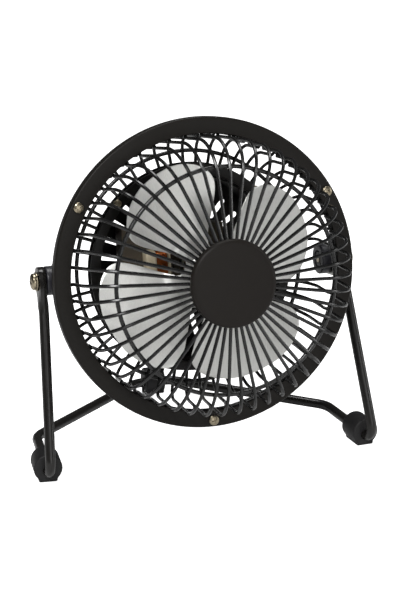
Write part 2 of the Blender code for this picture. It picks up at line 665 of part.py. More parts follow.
# ---------------------------------------------------------------- motor
STACK_END = STACK_START + STACK_THICK
FRONT_FOOT = STACK_START - GAP - BRACKET_SHEET
REAR_FOOT = STACK_END + GAP
FRONT_BEARING_END = ROTOR_START - THRUST_SHEET - 4 * GAP
REAR_BEARING_START = ROTOR_END + THRUST_SHEET + 4 * GAP
SHAFT_END = REAR_BEARING_START + BEARING_LENGTH - 4 * GAP


def stator():
    middle = behind(STACK_START + STACK_THICK / 2)
    frame = add("stator_frame", block((STACK_LEFT, behind(STACK_START), -STACK_HALF),
                                      (STACK_RIGHT, behind(STACK_END), STACK_HALF)),
                STACK_STEEL, HEAD)
    bar_half = CORE_TALL / 2
    bar_out, bar_in = WINDOW_LEFT - CORE_SEAT_OUT, WINDOW_RIGHT + CORE_SEAT_IN
    window = [(WINDOW_LEFT, -WINDOW_HALF), (WINDOW_RIGHT, -WINDOW_HALF),
              (WINDOW_RIGHT, -bar_half - GAP), (bar_in + GAP, -bar_half - GAP),
              (bar_in + GAP, bar_half + GAP), (WINDOW_RIGHT, bar_half + GAP),
              (WINDOW_RIGHT, WINDOW_HALF), (WINDOW_LEFT, WINDOW_HALF),
              (WINDOW_LEFT, bar_half + GAP), (bar_out - GAP, bar_half + GAP),
              (bar_out - GAP, -bar_half - GAP), (WINDOW_LEFT, -bar_half - GAP)]
    span = (middle - STACK_THICK, middle + STACK_THICK)
    tools = [prism(window, *span), drum(ROTOR_RADIUS + AIR_GAP, *span, 32)]
    tools += [drum(MOTOR_SCREW_RADIUS + GAP, *span, 12, (0, s * MOTOR_SCREW_Z)) for s in (1, -1)]
    for angle in LOOP_ANGLES:
        turn = Matrix.Rotation(-radians(angle), 4, "Y")
        for start in (LOOP_IN, LOOP_OUT - LOOP_WIRE):
            slot = block((start - GAP, span[0], -LOOP_WIRE / 2 - GAP),
                         (start + LOOP_WIRE + GAP, span[1], LOOP_WIRE / 2 + GAP))
            bmesh.ops.transform(slot, matrix=turn, verts=slot.verts)
            tools.append(slot)
    cut(frame, together(*tools), "openings")
    for number, angle in enumerate(LOOP_ANGLES, start=1):
        turn = Matrix.Rotation(-radians(angle), 4, "Y")
        near, far = behind(STACK_START) - GAP - LOOP_WIRE, behind(STACK_END) + GAP + LOOP_WIRE
        hoop = block((LOOP_IN, near, -LOOP_WIRE / 2), (LOOP_OUT, far, LOOP_WIRE / 2))
        bmesh.ops.transform(hoop, matrix=turn, verts=hoop.verts)
        piece = add(f"shading_loop_{number}", hoop, COPPER, HEAD)
        inside = block((LOOP_IN + LOOP_WIRE, near + LOOP_WIRE, -LOOP_WIRE),
                       (LOOP_OUT - LOOP_WIRE, far - LOOP_WIRE, LOOP_WIRE))
        bmesh.ops.transform(inside, matrix=turn, verts=inside.verts)
        cut(piece, inside, "inside")
    add("core_bar", block((bar_out, behind(STACK_START), -bar_half),
                          (bar_in, behind(STACK_END), bar_half)), STACK_STEEL, HEAD)


def wound(name, section, material):
    """Carry a section of (offset from the core, x) round the core bar, with rounded corners."""
    bm = bmesh.new()
    half_z, half_y = CORE_TALL / 2, STACK_THICK / 2
    middle = behind(STACK_START + STACK_THICK / 2)
    stations = []
    for quarter in range(4):
        sz = 1 if quarter in (0, 3) else -1
        sy = 1 if quarter in (0, 1) else -1
        for k in range(4):
            a = radians(90 * quarter + 30 * k)
            stations.append([bm.verts.new((x, middle + sy * half_y + out * sin(a),
                                           sz * half_z + out * cos(a))) for out, x in section])
    for here, following in zip(stations, stations[1:] + stations[:1]):
        for c in range(len(section)):
            d = (c + 1) % len(section)
            bm.faces.new((here[c], here[d], following[d], following[c]))
    return add(name, bm, material, HEAD)


def bobbin_and_winding():
    left, right = WINDOW_LEFT + GAP, WINDOW_RIGHT - GAP
    start, end = left + BOBBIN_END, right - BOBBIN_CHEEK
    wall = GAP + BOBBIN_WALL
    reach = WINDOW_HALF - CORE_TALL / 2 - GAP
    wound("coil_bobbin", [(GAP, left), (reach, left), (reach, start), (wall, start),
                          (wall, end), (reach, end), (reach, right), (GAP, right)], BOBBIN_NYLON)
    inner, outer, first, last = wall + GAP, reach - GAP, start + GAP, end - GAP
    edge = 0.0006
    wound("coil_winding", [(inner, first), (outer - edge, first), (outer, first + edge),
                           (outer, last - edge), (outer - edge, last), (inner, last)], COPPER)


def bearing_bracket(name, foot, outward, bearing_start):
    """Pressed bridge over the rotor with a boss for the bush; outward is -1 ahead, 1 behind."""
    base = behind(foot) if outward < 0 else behind(foot + BRACKET_SHEET)
    near = base + (BRACKET_SHEET if outward < 0 else -BRACKET_SHEET)
    top = near + outward * BRACKET_RISE
    under = top - outward * BRACKET_SHEET
    wall = BRACKET_SPAN
    half = [(wall, under), (wall, near), (STACK_HALF - GAP, near), (STACK_HALF - GAP, base),
            (wall + BRACKET_SHEET, base), (wall + BRACKET_SHEET, top)]
    outline = half + [(-z, y) for z, y in reversed(half)]
    pressing = prism([(y, z) for z, y in outline], -BRACKET_HALF_WIDE, BRACKET_HALF_WIDE, along="X")
    bracket = add(name, pressing, ZINC_STEEL, HEAD)
    start, end = behind(bearing_start) - GAP, behind(bearing_start + BEARING_LENGTH)
    join(bracket, drum(BEARING_RADIUS + 0.0016, start, end, 16), "boss")
    cut(bracket, drum(BEARING_RADIUS + GAP, start - 0.01, end + 0.01, 16), "bore")
    holes = [drum(MOTOR_SCREW_RADIUS + GAP, min(base, near) - 0.001, max(base, near) + 0.001, 12,
                  (0, s * MOTOR_SCREW_Z)) for s in (1, -1)]
    cut(bracket, together(*holes), "screw_holes")


def motor_hardware():
    front_start = FRONT_BEARING_END - BEARING_LENGTH
    bearing_bracket("bearing_bracket_front", FRONT_FOOT, -1, front_start)
    bearing_bracket("bearing_bracket_rear", REAR_FOOT, 1, REAR_BEARING_START)
    bore = SHAFT_RADIUS + RUNNING
    for name, start in (("front", front_start), ("rear", REAR_BEARING_START)):
        profile = sleeve(bore, BEARING_RADIUS, behind(start), behind(start + BEARING_LENGTH - GAP))
        turned(f"bearing_{name}", profile, BRONZE, HEAD, sides=16)
    seat = behind(FRONT_FOOT) - GAP
    length = CUP_BACK - CUP_WALL - 0.0012 - FRONT_FOOT
    for number, s in enumerate((1, -1), start=1):
        bolt(f"motor_screw_{number}", at(0, seat, s * MOTOR_SCREW_Z), MOTOR_HEAD, MOTOR_HEAD_TALL,
             MOTOR_SCREW_RADIUS, length, ZINC_STEEL, sides=12)


# ---------------------------------------------------------------- housing
CUP_FRONT = REAR_CAGE_DEPTH + WIRE / 2 + GAP
CLAMP_BACK = REAR_CAGE_DEPTH - WIRE / 2 - GAP


def clamp_places():
    """Four places, a quarter turn apart, between the rear cage's radial wires."""
    first = degrees(2 * pi * (CLAMP_SCREW_GAP + 0.5) / WIRE_COUNT + CAGE_LEAN * REAR_CAGE_DEPTH)
    return [on_circle(CLAMP_SCREW_CIRCLE, first + 90 * k) for k in range(4)]


def motor_housing():
    inner, corner = CUP_RADIUS - CUP_WALL, CUP_RADIUS - CUP_ROUND
    turn_y = behind(CUP_BACK) - CUP_ROUND
    profile = [(0, behind(CUP_BACK - CUP_WALL))]
    profile += arc((corner, turn_y), CUP_ROUND - CUP_WALL, 90, 0, 3)
    profile += [(inner, behind(CUP_FRONT)), (CUP_FLANGE, behind(CUP_FRONT)),
                (CUP_FLANGE, behind(CUP_FRONT + CUP_WALL)),
                (CUP_RADIUS, behind(CUP_FRONT + CUP_WALL))]
    profile += arc((corner, turn_y), CUP_ROUND, 0, 90, 3)
    profile += [(0, behind(CUP_BACK))]
    cup = turned("motor_housing", profile, HOUSING_PAINT, HEAD, sides=40, closed=False)
    for s, label in ((1, "upper_boss"), (-1, "lower_boss")):
        join(cup, drum(CUP_BOSS, behind(REAR_FOOT + BRACKET_SHEET) + GAP,
                       behind(CUP_BACK - CUP_WALL / 2), 14, (0, s * MOTOR_SCREW_Z)), label)
    tools = [drum(MOTOR_SCREW_RADIUS + GAP, behind(REAR_FOOT), behind(CUP_BACK - CUP_WALL), 12,
                  (0, s * MOTOR_SCREW_Z)) for s in (1, -1)]
    tools += [drum(CLAMP_SCREW_RADIUS + GAP, behind(CUP_FRONT) - 0.001,
                   behind(CUP_FRONT + CUP_WALL) + 0.001, 10,
                   place) for place in clamp_places()]
    wide, tall = SWITCH_HALF_WIDE + GAP, SWITCH_HALF_TALL + GAP
    tools.append(block((SWITCH_X - wide, behind(CUP_BACK) - 0.003, -tall),
                       (SWITCH_X + wide, behind(CUP_BACK) + 0.002, tall)))
    tools.append(drum(GLAND_HOLE, behind(CUP_BACK) - 0.003, behind(CUP_BACK) + 0.002, 16,
                      (0, GLAND_Z)))
    for k in range(SLOT_COUNT):
        angle = 360 * (k + 0.5) / SLOT_COUNT
        near_switch = min(angle, 360 - angle) < 22
        near_gland = abs(angle - 270) < 13
        if near_switch or near_gland:
            continue
        slot = block((SLOT_INNER, turn_y, -SLOT_WIDE / 2),
                     (SLOT_OUTER, behind(CUP_BACK) + 0.002, SLOT_WIDE / 2))
        bmesh.ops.transform(slot, matrix=Matrix.Rotation(-radians(angle), 4, "Y"), verts=slot.verts)
        tools.append(slot)
    return cut(cup, together(*tools), "openings")


def clamp():
    front = CLAMP_BACK - CLAMP_SHEET
    profile = sleeve(REAR_INNER + GAP, CUP_FLANGE - CLAMP_MARGIN, behind(front), behind(CLAMP_BACK))
    ring = turned("housing_clamp_ring", profile, HOUSING_PAINT, HEAD, sides=40)
    places = clamp_places()
    cut(ring, together(*[drum(CLAMP_SCREW_RADIUS + GAP, behind(front) - 0.001,
                              behind(CLAMP_BACK) + 0.001, 10, place) for place in places]),
        "screw_holes")
    for number, (x, z) in enumerate(places, start=1):
        bolt(f"clamp_screw_{number}", at(x, behind(front) - GAP, z), CLAMP_HEAD, CLAMP_HEAD_TALL,
             CLAMP_SCREW_RADIUS, CUP_FRONT + CUP_WALL - front + 0.0015, sides=12)


def switch_and_gland():
    outside = behind(CUP_BACK) + GAP
    wide, tall = SWITCH_HALF_WIDE, SWITCH_HALF_TALL
    bezel = block((SWITCH_X - wide - BEZEL, outside, -tall - BEZEL),
                  (SWITCH_X + wide + BEZEL, outside + BEZEL, tall + BEZEL))
    body = add("switch_body", bezel, SWITCH_PLASTIC, HEAD)
    join(body, block((SWITCH_X - wide, outside - SWITCH_BODY_DEPTH, -tall),
                     (SWITCH_X + wide, outside + BEZEL / 2, tall)), "body")
    room = ROCKER_HALF_WIDE + GAP
    swing = ROCKER_ARC + 3 * GAP
    cut(body, block((SWITCH_X - room, behind(CUP_BACK) - swing, -swing),
                    (SWITCH_X + room, outside + 0.004, swing)), "cavity")

    outline = arc((0, 0), ROCKER_ARC, 100, 260, 8)
    outline += [(0.0016, -ROCKER_ARC - 0.0001), (0.0031, 0), (0.0016, ROCKER_ARC + 0.0001)]
    rocker = add("switch_rocker", prism(outline, -ROCKER_HALF_WIDE, ROCKER_HALF_WIDE, along="X"),
                 SWITCH_PLASTIC, ROCKER_PIN)
    rocker.rotation_euler = (ROCKER_SWING, 0, 0)

    neck, bore = GLAND_HOLE - GAP, GLAND_BORE
    wall_in = behind(CUP_BACK - CUP_WALL) - GAP
    lip = neck + 0.0010
    profile = [(bore, wall_in - 0.0012), (lip, wall_in - 0.0010), (lip, wall_in),
               (neck, wall_in), (neck, outside), (neck + 0.0018, outside),
               (neck + 0.0015, outside + 0.0018), (bore + 0.0008, outside + 0.0040),
               (bore, outside + 0.0040)]
    gland = spun(profile, 12)
    bmesh.ops.transform(gland, matrix=at(0, 0, GLAND_Z), verts=gland.verts)
    add("cord_gland", gland, RUBBER, HEAD)


# ---------------------------------------------------------------- stand
def rounded_route(corners, bends, steps):
    """Points along straight runs between corners, with a round bend at each inner corner."""
    route = [corners[0]]
    for before, corner, after, bend in zip(corners, corners[1:], corners[2:], bends):
        into = (corner - before).normalized()
        away = (after - corner).normalized()
        turn = into.angle(away)
        start = corner - into * bend * tan(turn / 2)
        centre = corner + (away - into).normalized() * bend / cos(turn / 2)
        axis = into.cross(away)
        for k in range(steps + 1):
            spin = Matrix.Rotation(turn * k / steps, 3, axis)
            route.append(centre + spin @ (start - centre))
    route.append(corners[-1])
    return route


LEG_TOP = Vector((EYE_X, 0, PIVOT_HEIGHT))
LEG_FOOT = Vector((FOOT_X, -LEG_TOE, RAIL_HEIGHT))
RAIL_BACK = Vector((RAIL_BACK_X, RAIL_BACK_Y, RAIL_HEIGHT))
APEX_CORNER = Vector((APEX_HALF, APEX_Y, RAIL_HEIGHT))
RAIL_RUN = (RAIL_BACK - LEG_FOOT).normalized()
DOWN_LEG = Vector((0, -LEG_TOE, RAIL_HEIGHT - PIVOT_HEIGHT)).normalized()


def stand_frame():
    """Half of the tube, from the flattened eye to the middle of the apex, and its mirror image."""
    eye = [(-0.0068, 0.0017), (-0.0060, 0.0036), (-0.0044, 0.0054), (-0.0020, 0.0067),
           (0.0010, 0.0069), (0.0040, 0.0060), (0.0085, 0.0043), (0.0125, 0.0032)]
    sections = []
    for along, half_wide in eye:
        flat = max(0.0, (along - 0.0075) / (EYE_NECK - 0.0075))
        thick = EYE_THICK / 2 + (TUBE_RADIUS - EYE_THICK / 2) * flat
        sections.append((LEG_TOP + DOWN_LEG * along, half_wide, thick))
    neck = LEG_TOP + DOWN_LEG * EYE_NECK
    middle = Vector((0, APEX_Y, RAIL_HEIGHT))
    bends = (LEG_BEND, RAIL_BEND, APEX_BEND)
    route = rounded_route([neck, LEG_FOOT, RAIL_BACK, APEX_CORNER, middle], bends, 4)
    sections += [(point, TUBE_RADIUS, TUBE_RADIUS) for point in route]
    bm = bmesh.new()
    facets = 8
    thick_way = Vector((1, 0, 0))
    loops = []
    for n, (point, wide, thick) in enumerate(sections):
        before = sections[max(n - 1, 0)][0]
        after = sections[min(n + 1, len(sections) - 1)][0]
        run = (after - before).normalized()
        if n == len(sections) - 1:
            run = Vector((-1, 0, 0))
        thick_way = (thick_way - run * thick_way.dot(run)).normalized()
        wide_way = run.cross(thick_way)
        loops.append([bm.verts.new(point + wide_way * wide * cos(2 * pi * k / facets)
                                   + thick_way * thick * sin(2 * pi * k / facets))
                      for k in range(facets)])
    for one, two in zip(loops, loops[1:]):
        for k in range(facets):
            j = (k + 1) % facets
            bm.faces.new((one[k], one[j], two[j], two[k]))
    bm.faces.new(loops[0])
    frame = add("stand_frame", bm, TUBE_PAINT, STAND)
    mirror = frame.modifiers.new("other_half", "MIRROR")
    mirror.merge_threshold = 0.00005
    holes = [drum(PIVOT_SCREW_RADIUS + GAP, s * EYE_X - 0.004, s * EYE_X + 0.004, 20,
                  (0, PIVOT_HEIGHT), "X") for s in (1, -1)]
    return cut(frame, together(*holes), "pivot_holes")


def foot(name, length, place):
    """Rubber sleeve round a straight run of the tube, flat underneath."""
    centre = RAIL_HEIGHT + FOOT_RAISE
    outline = [(SOLE_HALF, 0)] + arc((0, centre), FOOT_RADIUS, -48, 228, 14) + [(-SOLE_HALF, 0)]
    piece = add(name, prism(outline, -length / 2, length / 2), RUBBER, STAND)
    cut(piece, drum(TUBE_RADIUS + GAP, -length, length, 14, (0, RAIL_HEIGHT)), "bore")
    piece.matrix_local = place


def feet():
    bend_end = LEG_BEND * tan(DOWN_LEG.angle(RAIL_RUN) / 2)
    for side, sign in (("left", -1), ("right", 1)):
        middle = LEG_FOOT + RAIL_RUN * (bend_end + GAP + FOOT_LENGTH / 2)
        swing = atan2(-RAIL_RUN.x * sign, RAIL_RUN.y)
        foot(f"foot_{side}", FOOT_LENGTH,
             at(sign * middle.x, middle.y, 0) @ Matrix.Rotation(swing, 4, "Z"))
    foot("foot_rear", REAR_FOOT_LENGTH, at(0, APEX_Y, 0) @ Matrix.Rotation(pi / 2, 4, "Z"))


# ---------------------------------------------------------------- the fan
stand_frame()
feet()
front_ring()
front_grille()
rear_grille()
flange_fixings()
front_cap()
pivot("left", -1)
pivot("right", 1)
fan_blades()
rotor_pieces()
stator()
bobbin_and_winding()
motor_hardware()
motor_housing()
clamp()
switch_and_gland()
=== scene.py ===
"""Small tilting desk fan: its finished surfaces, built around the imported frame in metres.

The head's pieces are modelled with the fan's axis along Y and the middle of the pivot axis at
the origin, then carried to the head's place. The stand's pieces are modelled where they are.
"""
from math import acos, cos, pi, radians, sin, sqrt, tan

import bpy
from mathutils import Matrix, Vector
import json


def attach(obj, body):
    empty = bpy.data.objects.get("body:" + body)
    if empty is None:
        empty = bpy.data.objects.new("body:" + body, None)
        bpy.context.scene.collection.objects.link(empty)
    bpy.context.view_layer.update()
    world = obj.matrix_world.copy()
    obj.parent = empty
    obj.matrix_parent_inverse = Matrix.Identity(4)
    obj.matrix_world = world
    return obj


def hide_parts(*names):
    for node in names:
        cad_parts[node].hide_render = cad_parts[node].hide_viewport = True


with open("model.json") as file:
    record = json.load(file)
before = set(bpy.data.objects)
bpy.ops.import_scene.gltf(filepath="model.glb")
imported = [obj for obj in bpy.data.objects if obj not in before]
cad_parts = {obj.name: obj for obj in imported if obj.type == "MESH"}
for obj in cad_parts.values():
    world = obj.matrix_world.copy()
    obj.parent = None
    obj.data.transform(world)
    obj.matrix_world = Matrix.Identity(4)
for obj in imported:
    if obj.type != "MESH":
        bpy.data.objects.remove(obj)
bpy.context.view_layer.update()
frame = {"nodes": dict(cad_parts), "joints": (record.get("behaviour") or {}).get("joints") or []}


# ---- The view. A catalogue view of the fan from its right and a little above, with a long lens.
# It is aimed at the middle of the pivot axis, which sits off the middle of the picture.
joints = {joint["name"]: joint for joint in frame["joints"]}
pivot = Vector(joints["head_tilt"]["pos_m"])
fan_axis = Vector(joints["fan_spin"]["axis"]).normalized()
azimuth, elevation, roll = radians(-17.72), radians(16.27), radians(0.51)
viewing_distance = 0.788
towards_viewer = Vector((sin(azimuth) * cos(elevation), -cos(azimuth) * cos(elevation),
                         sin(elevation)))
level_right = Vector((cos(azimuth), sin(azimuth), 0))
level_up = towards_viewer.cross(level_right)
view_right = level_right * cos(roll) + level_up * sin(roll)
view_up = level_up * cos(roll) - level_right * sin(roll)
bpy.ops.object.camera_add()
camera = bpy.context.object
camera.matrix_world = (Matrix.Translation(pivot + towards_viewer * viewing_distance)
                       @ Matrix((view_right, view_up, towards_viewer)).transposed().to_4x4())
camera.data.lens = 96.4
camera.data.sensor_width = 36
camera.data.shift_x = 0.0081
camera.data.shift_y = -0.0528
bpy.context.scene.camera = camera
bpy.context.scene.view_settings.view_transform = "Standard"


# ---- The studio. A flat white floor under and behind the fan, a soft light on each side, one in front and
# one overhead. The air around is white to the camera and dimmer to the fan's glossy paint.
def keep_place():
    """Put the chosen piece's place, turn and size into its mesh."""
    bpy.ops.object.transform_apply(location=True, rotation=True, scale=True)


def dial(node, **sockets):
    """Set a node's sockets, each named with _ for its spaces."""
    for socket, value in sockets.items():
        node.inputs[socket.replace("_", " ")].default_value = value


bpy.ops.object.select_all(action="DESELECT")
bpy.ops.mesh.primitive_plane_add(size=6, location=(0, 0, -0.0002))
floor = bpy.context.object
floor.name = "studio_floor"
keep_place()
floor_paper = bpy.data.materials.new("floor_paper")
floor_paper.use_nodes = True
paper = floor_paper.node_tree.nodes["Principled BSDF"]
dial(paper, Base_Color=(0.90, 0.90, 0.90, 1), Roughness=0.9, Emission_Color=(1, 1, 1, 1))
looking = floor_paper.node_tree.nodes.new("ShaderNodeLightPath")
floor_paper.node_tree.links.new(looking.outputs["Is Camera Ray"], paper.inputs["Emission Strength"])
floor.data.materials.append(floor_paper)

world = bpy.data.worlds.new("studio_air")
bpy.context.scene.world = world
world.use_nodes = True
air = world.node_tree
background = air.nodes["Background"]
seen = air.nodes.new("ShaderNodeLightPath")
brightness = air.nodes.new("ShaderNodeMapRange")
dial(brightness, To_Min=0.07, To_Max=1.0)
dial(background, Color=(1, 1, 1, 1))
air.links.new(seen.outputs["Is Camera Ray"], brightness.inputs["Value"])
air.links.new(brightness.outputs["Result"], background.inputs["Strength"])


def soft_light(name, place, wide, tall, power):
    """A square softbox that faces the middle of the fan's head."""
    bpy.ops.object.light_add(type="AREA", location=place)
    light = bpy.context.object
    light.name = name
    light.data.shape = "RECTANGLE"
    light.data.size = wide
    light.data.size_y = tall
    light.data.energy = power
    light.rotation_euler = (Vector(place) - pivot).to_track_quat("Z", "Y").to_euler()


soft_light("key_light", (-0.55, -0.75, 0.95), 0.35, 0.35, 11)
soft_light("fill_light", (0.95, -0.45, 0.45), 0.12, 0.8, 3)
soft_light("top_light", (0.05, 0.25, 1.2), 0.6, 0.3, 7)
soft_light("front_light", (0.15, -1.3, 0.35), 0.7, 0.5, 3)


# ---- The stand's tube. 5 mm steel tube, bent into two rails that meet behind and two legs that
# lean up to the pivots, where each end is pressed flat into an eye and drilled for its screw.
tube_radius = 0.0025
eye_x = 0.07735
eye_radius = 0.0069
eye_thick = 0.0033
eye_neck = 0.0160
screw_hole = 0.0023
rail_height = 0.0057
leg_bend, rail_bend, apex_bend = 0.0060, 0.0120, 0.0120
gap = 0.0003            # between pieces that touch
leg_top = Vector((eye_x, pivot.y, pivot.z))
leg_foot = Vector((0.0822, pivot.y - 0.0381, rail_height))
rail_back = Vector((0.0779, pivot.y + 0.0151, rail_height))
apex_corner = Vector((0.0100, pivot.y + 0.0750, rail_height))
down_leg = Vector((0, leg_foot.y - leg_top.y, leg_foot.z - leg_top.z)).normalized()
rail_run = (rail_back - leg_foot).normalized()


def rounded_route(corners, bends, steps):
    """Points along straight runs between corners, with a round bend at each inner corner."""
    route = [corners[0]]
    for before, corner, after, bend in zip(corners, corners[1:], corners[2:], bends):
        into = (corner - before).normalized()
        away = (after - corner).normalized()
        turn = into.angle(away)
        start = corner - into * bend * tan(turn / 2)
        centre = corner + (away - into).normalized() * bend / cos(turn / 2)
        for k in range(steps + 1):
            route.append(centre + Matrix.Rotation(turn * k / steps, 3, into.cross(away))
                         @ (start - centre))
    route.append(corners[-1])
    return route


def drawn_line(name, points, closed=False):
    """One vertex, extruded from point to point; it is left selected in edit mode."""
    bpy.ops.object.select_all(action="DESELECT")
    bpy.ops.mesh.primitive_plane_add(size=0.01)
    piece = bpy.context.object
    piece.name = name
    bpy.ops.object.mode_set(mode="EDIT")
    bpy.ops.mesh.merge(type="CENTER")
    bpy.ops.transform.translate(value=points[0])
    for before, after in zip(points, points[1:]):
        step = Vector(after) - Vector(before)
        bpy.ops.mesh.extrude_region_move(TRANSFORM_OT_translate={"value": step})
    if closed:
        bpy.ops.object.mode_set(mode="OBJECT")
        piece.data.vertices[0].select = True
        bpy.ops.object.mode_set(mode="EDIT")
        bpy.ops.mesh.edge_face_add()
    bpy.ops.mesh.select_all(action="SELECT")
    return piece


def smooth(angle):
    """Shade the active piece smooth, save across edges sharper than this, in degrees."""
    bpy.ops.object.shade_smooth_by_angle(angle=radians(angle))


def bent_bar(name, points, radius, roundness=2, closed=False):
    """Round wire or tube along points, with its ends closed and its seams merged."""
    piece = drawn_line(name, points, closed)
    bpy.ops.object.mode_set(mode="OBJECT")
    bpy.ops.object.convert(target="CURVE")
    piece = bpy.context.object
    piece.data.dimensions = "3D"
    piece.data.bevel_depth = radius
    piece.data.bevel_resolution = roundness
    piece.data.use_fill_caps = True
    bpy.ops.object.convert(target="MESH")
    piece = bpy.context.object
    bpy.ops.object.mode_set(mode="EDIT")
    bpy.ops.mesh.select_all(action="SELECT")
    bpy.ops.mesh.remove_doubles(threshold=1e-6)
    bpy.ops.mesh.normals_make_consistent(inside=False)
    bpy.ops.object.mode_set(mode="OBJECT")
    smooth(40)
    return piece


def choose(piece):
    """Make one piece the only one selected, and the active one."""
    bpy.ops.object.select_all(action="DESELECT")
    bpy.context.view_layer.objects.active = piece
    piece.select_set(True)


def carve(piece, tool, operation="DIFFERENCE"):
    """Cut a tool out of a piece, or join it on, and put the tool away."""
    step = piece.modifiers.new(operation.lower(), "BOOLEAN")
    step.operation = operation
    step.object = tool
    choose(piece)
    bpy.ops.object.modifier_apply(modifier=step.name)
    bpy.data.objects.remove(tool)


def cylinder(radius, low, high, along="Y", centre=(0, 0), sides=32):
    """A cutter or a blank: a cylinder along X or Y, from low to high; centre is the other two."""
    middle = (low + high) / 2
    place = (centre[0], middle, centre[1]) if along == "Y" else (middle, centre[0], centre[1])
    turn = (pi / 2, 0, 0) if along == "Y" else (0, pi / 2, 0)
    bpy.ops.object.select_all(action="DESELECT")
    bpy.ops.mesh.primitive_cylinder_add(vertices=sides, radius=radius, depth=high - low,
                                        location=place, rotation=turn)
    keep_place()
    return bpy.context.object


def slab(low, high):
    """A cutter or a blank: a block between two corners."""
    low, high = Vector(low), Vector(high)
    bpy.ops.object.select_all(action="DESELECT")
    bpy.ops.mesh.primitive_cube_add(size=1, location=(low + high) / 2, scale=high - low)
    keep_place()
    return bpy.context.object


half_route = rounded_route([leg_top + down_leg * eye_neck, leg_foot, rail_back, apex_corner,
                            Vector((0, apex_corner.y, rail_height))],
                           (leg_bend, rail_bend, apex_bend), 10)
pressed = [leg_top + down_leg * (-eye_radius * cos(pi * k / 16)) for k in range(1, 12)]
pressed += [leg_top + down_leg * (0.0040 + 0.0012 * k) for k in range(10)]
half_route = pressed + half_route
route = half_route + [Vector((-point.x, point.y, point.z)) for point in reversed(half_route[:-1])]
stand_tube = bent_bar("stand_tube", route, tube_radius, roundness=4)
across_leg = down_leg.cross(Vector((1, 0, 0)))
for vertex in stand_tube.data.vertices:
    side = 1 if vertex.co.x > 0 else -1
    top = Vector((side * leg_top.x, leg_top.y, leg_top.z))
    along = (vertex.co - top).dot(down_leg)
    if along >= eye_neck:
        continue
    share = min(max((along - 0.0010) / (eye_neck - 0.0010), 0), 1)
    ease = share * share * (3 - 2 * share)
    wide = sqrt(max(eye_radius ** 2 - min(along, 0) ** 2, 0)) * (1 - ease) + tube_radius * ease
    thick = eye_thick / 2 * (1 - ease) + tube_radius * ease
    offset = vertex.co - top - down_leg * along
    flat_x = min(max(offset.x / tube_radius * (1.9 - 0.9 * ease), -1), 1) * thick
    vertex.co = top + down_leg * along + Vector((flat_x, 0, 0)) + across_leg * (
        offset.dot(across_leg) / tube_radius * wide)
for side in (1, -1):
    carve(stand_tube, cylinder(screw_hole, side * eye_x - 0.004, side * eye_x + 0.004, "X",
                               (pivot.y, pivot.z)))
smooth(40)


def pattern(name, takes, gives):
    """An empty node group for a surface effect, with named number inputs and outputs."""
    group = bpy.data.node_groups.new(name, "ShaderNodeTree")
    for socket, value in takes.items():
        kind = "NodeSocketVector" if isinstance(value, tuple) else "NodeSocketFloat"
        group.interface.new_socket(socket, in_out="INPUT", socket_type=kind).default_value = value
    for socket in gives:
        group.interface.new_socket(socket, in_out="OUTPUT", socket_type="NodeSocketFloat")
    return group, group.nodes.new("NodeGroupInput"), group.nodes.new("NodeGroupOutput")


grain_group, grain_in, grain_out = pattern(
    "grain_and_clouds", {"Stretch": (1.0, 1.0, 1.0), "Grain Scale": 2000.0, "Cloud Scale": 60.0},
    ("Grain", "Clouds"))
coordinate = grain_group.nodes.new("ShaderNodeTexCoord")
stretched = grain_group.nodes.new("ShaderNodeVectorMath")
stretched.operation = "MULTIPLY"
grain_group.links.new(coordinate.outputs["Object"], stretched.inputs[0])
grain_group.links.new(grain_in.outputs["Stretch"], stretched.inputs[1])
for output, scale, detail in (("Grain", "Grain Scale", 3.0), ("Clouds", "Cloud Scale", 5.0)):
    noise = grain_group.nodes.new("ShaderNodeTexNoise")
    dial(noise, Detail=detail)
    source = stretched.outputs["Vector"] if output == "Grain" else coordinate.outputs["Object"]
    grain_group.links.new(source, noise.inputs["Vector"])
    grain_group.links.new(grain_in.outputs[scale], noise.inputs["Scale"])
    grain_group.links.new(noise.outputs["Fac"], grain_out.inputs[output])


def finish(name, dark, light, rough, grain=2000.0, clouds=60.0, stretch=(1, 1, 1), bump=0.1,
           depth=0.00005, metallic=0.0, grain_in_colour=False, **sockets):
    """A paint, plating or plastic: two close colours in clouds, with a fine grain in relief."""
    material = bpy.data.materials.new(name)
    material.use_nodes = True
    tree = material.node_tree
    shader = tree.nodes["Principled BSDF"]
    dial(shader, Metallic=metallic, **sockets)
    texture = tree.nodes.new("ShaderNodeGroup")
    texture.node_tree = grain_group
    dial(texture, Stretch=stretch, Grain_Scale=grain, Cloud_Scale=clouds)
    colour = tree.nodes.new("ShaderNodeMix")
    colour.data_type = "RGBA"
    dial(colour, A=(*dark, 1), B=(*light, 1))
    tree.links.new(texture.outputs["Grain" if grain_in_colour else "Clouds"],
                   colour.inputs["Factor"])
    tree.links.new(colour.outputs["Result"], shader.inputs["Base Color"])
    gloss = tree.nodes.new("ShaderNodeMapRange")
    dial(gloss, From_Min=0.3, From_Max=0.7, To_Min=rough[0], To_Max=rough[1])
    tree.links.new(texture.outputs["Clouds"], gloss.inputs["Value"])
    tree.links.new(gloss.outputs["Result"], shader.inputs["Roughness"])
    relief = tree.nodes.new("ShaderNodeBump")
    dial(relief, Strength=bump, Distance=depth)
    tree.links.new(texture.outputs["Grain"], relief.inputs["Height"])
    tree.links.new(relief.outputs["Normal"], shader.inputs["Normal"])
    return material


def wear(piece, material):
    """Give a piece one material in place of whatever it had."""
    piece.data.materials.clear()
    piece.data.materials.append(material)


def settle(piece, place):
    """Move a piece from where it was modelled to its place, and keep the place in its mesh."""
    choose(piece)
    piece.matrix_world = place
    keep_place()


def fit(piece, material, place, body, node):
    """Give a piece its finish and its place, and let it ride with its body as its node does."""
    wear(piece, material)
    settle(piece, place)
    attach(piece, body)
    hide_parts(node)


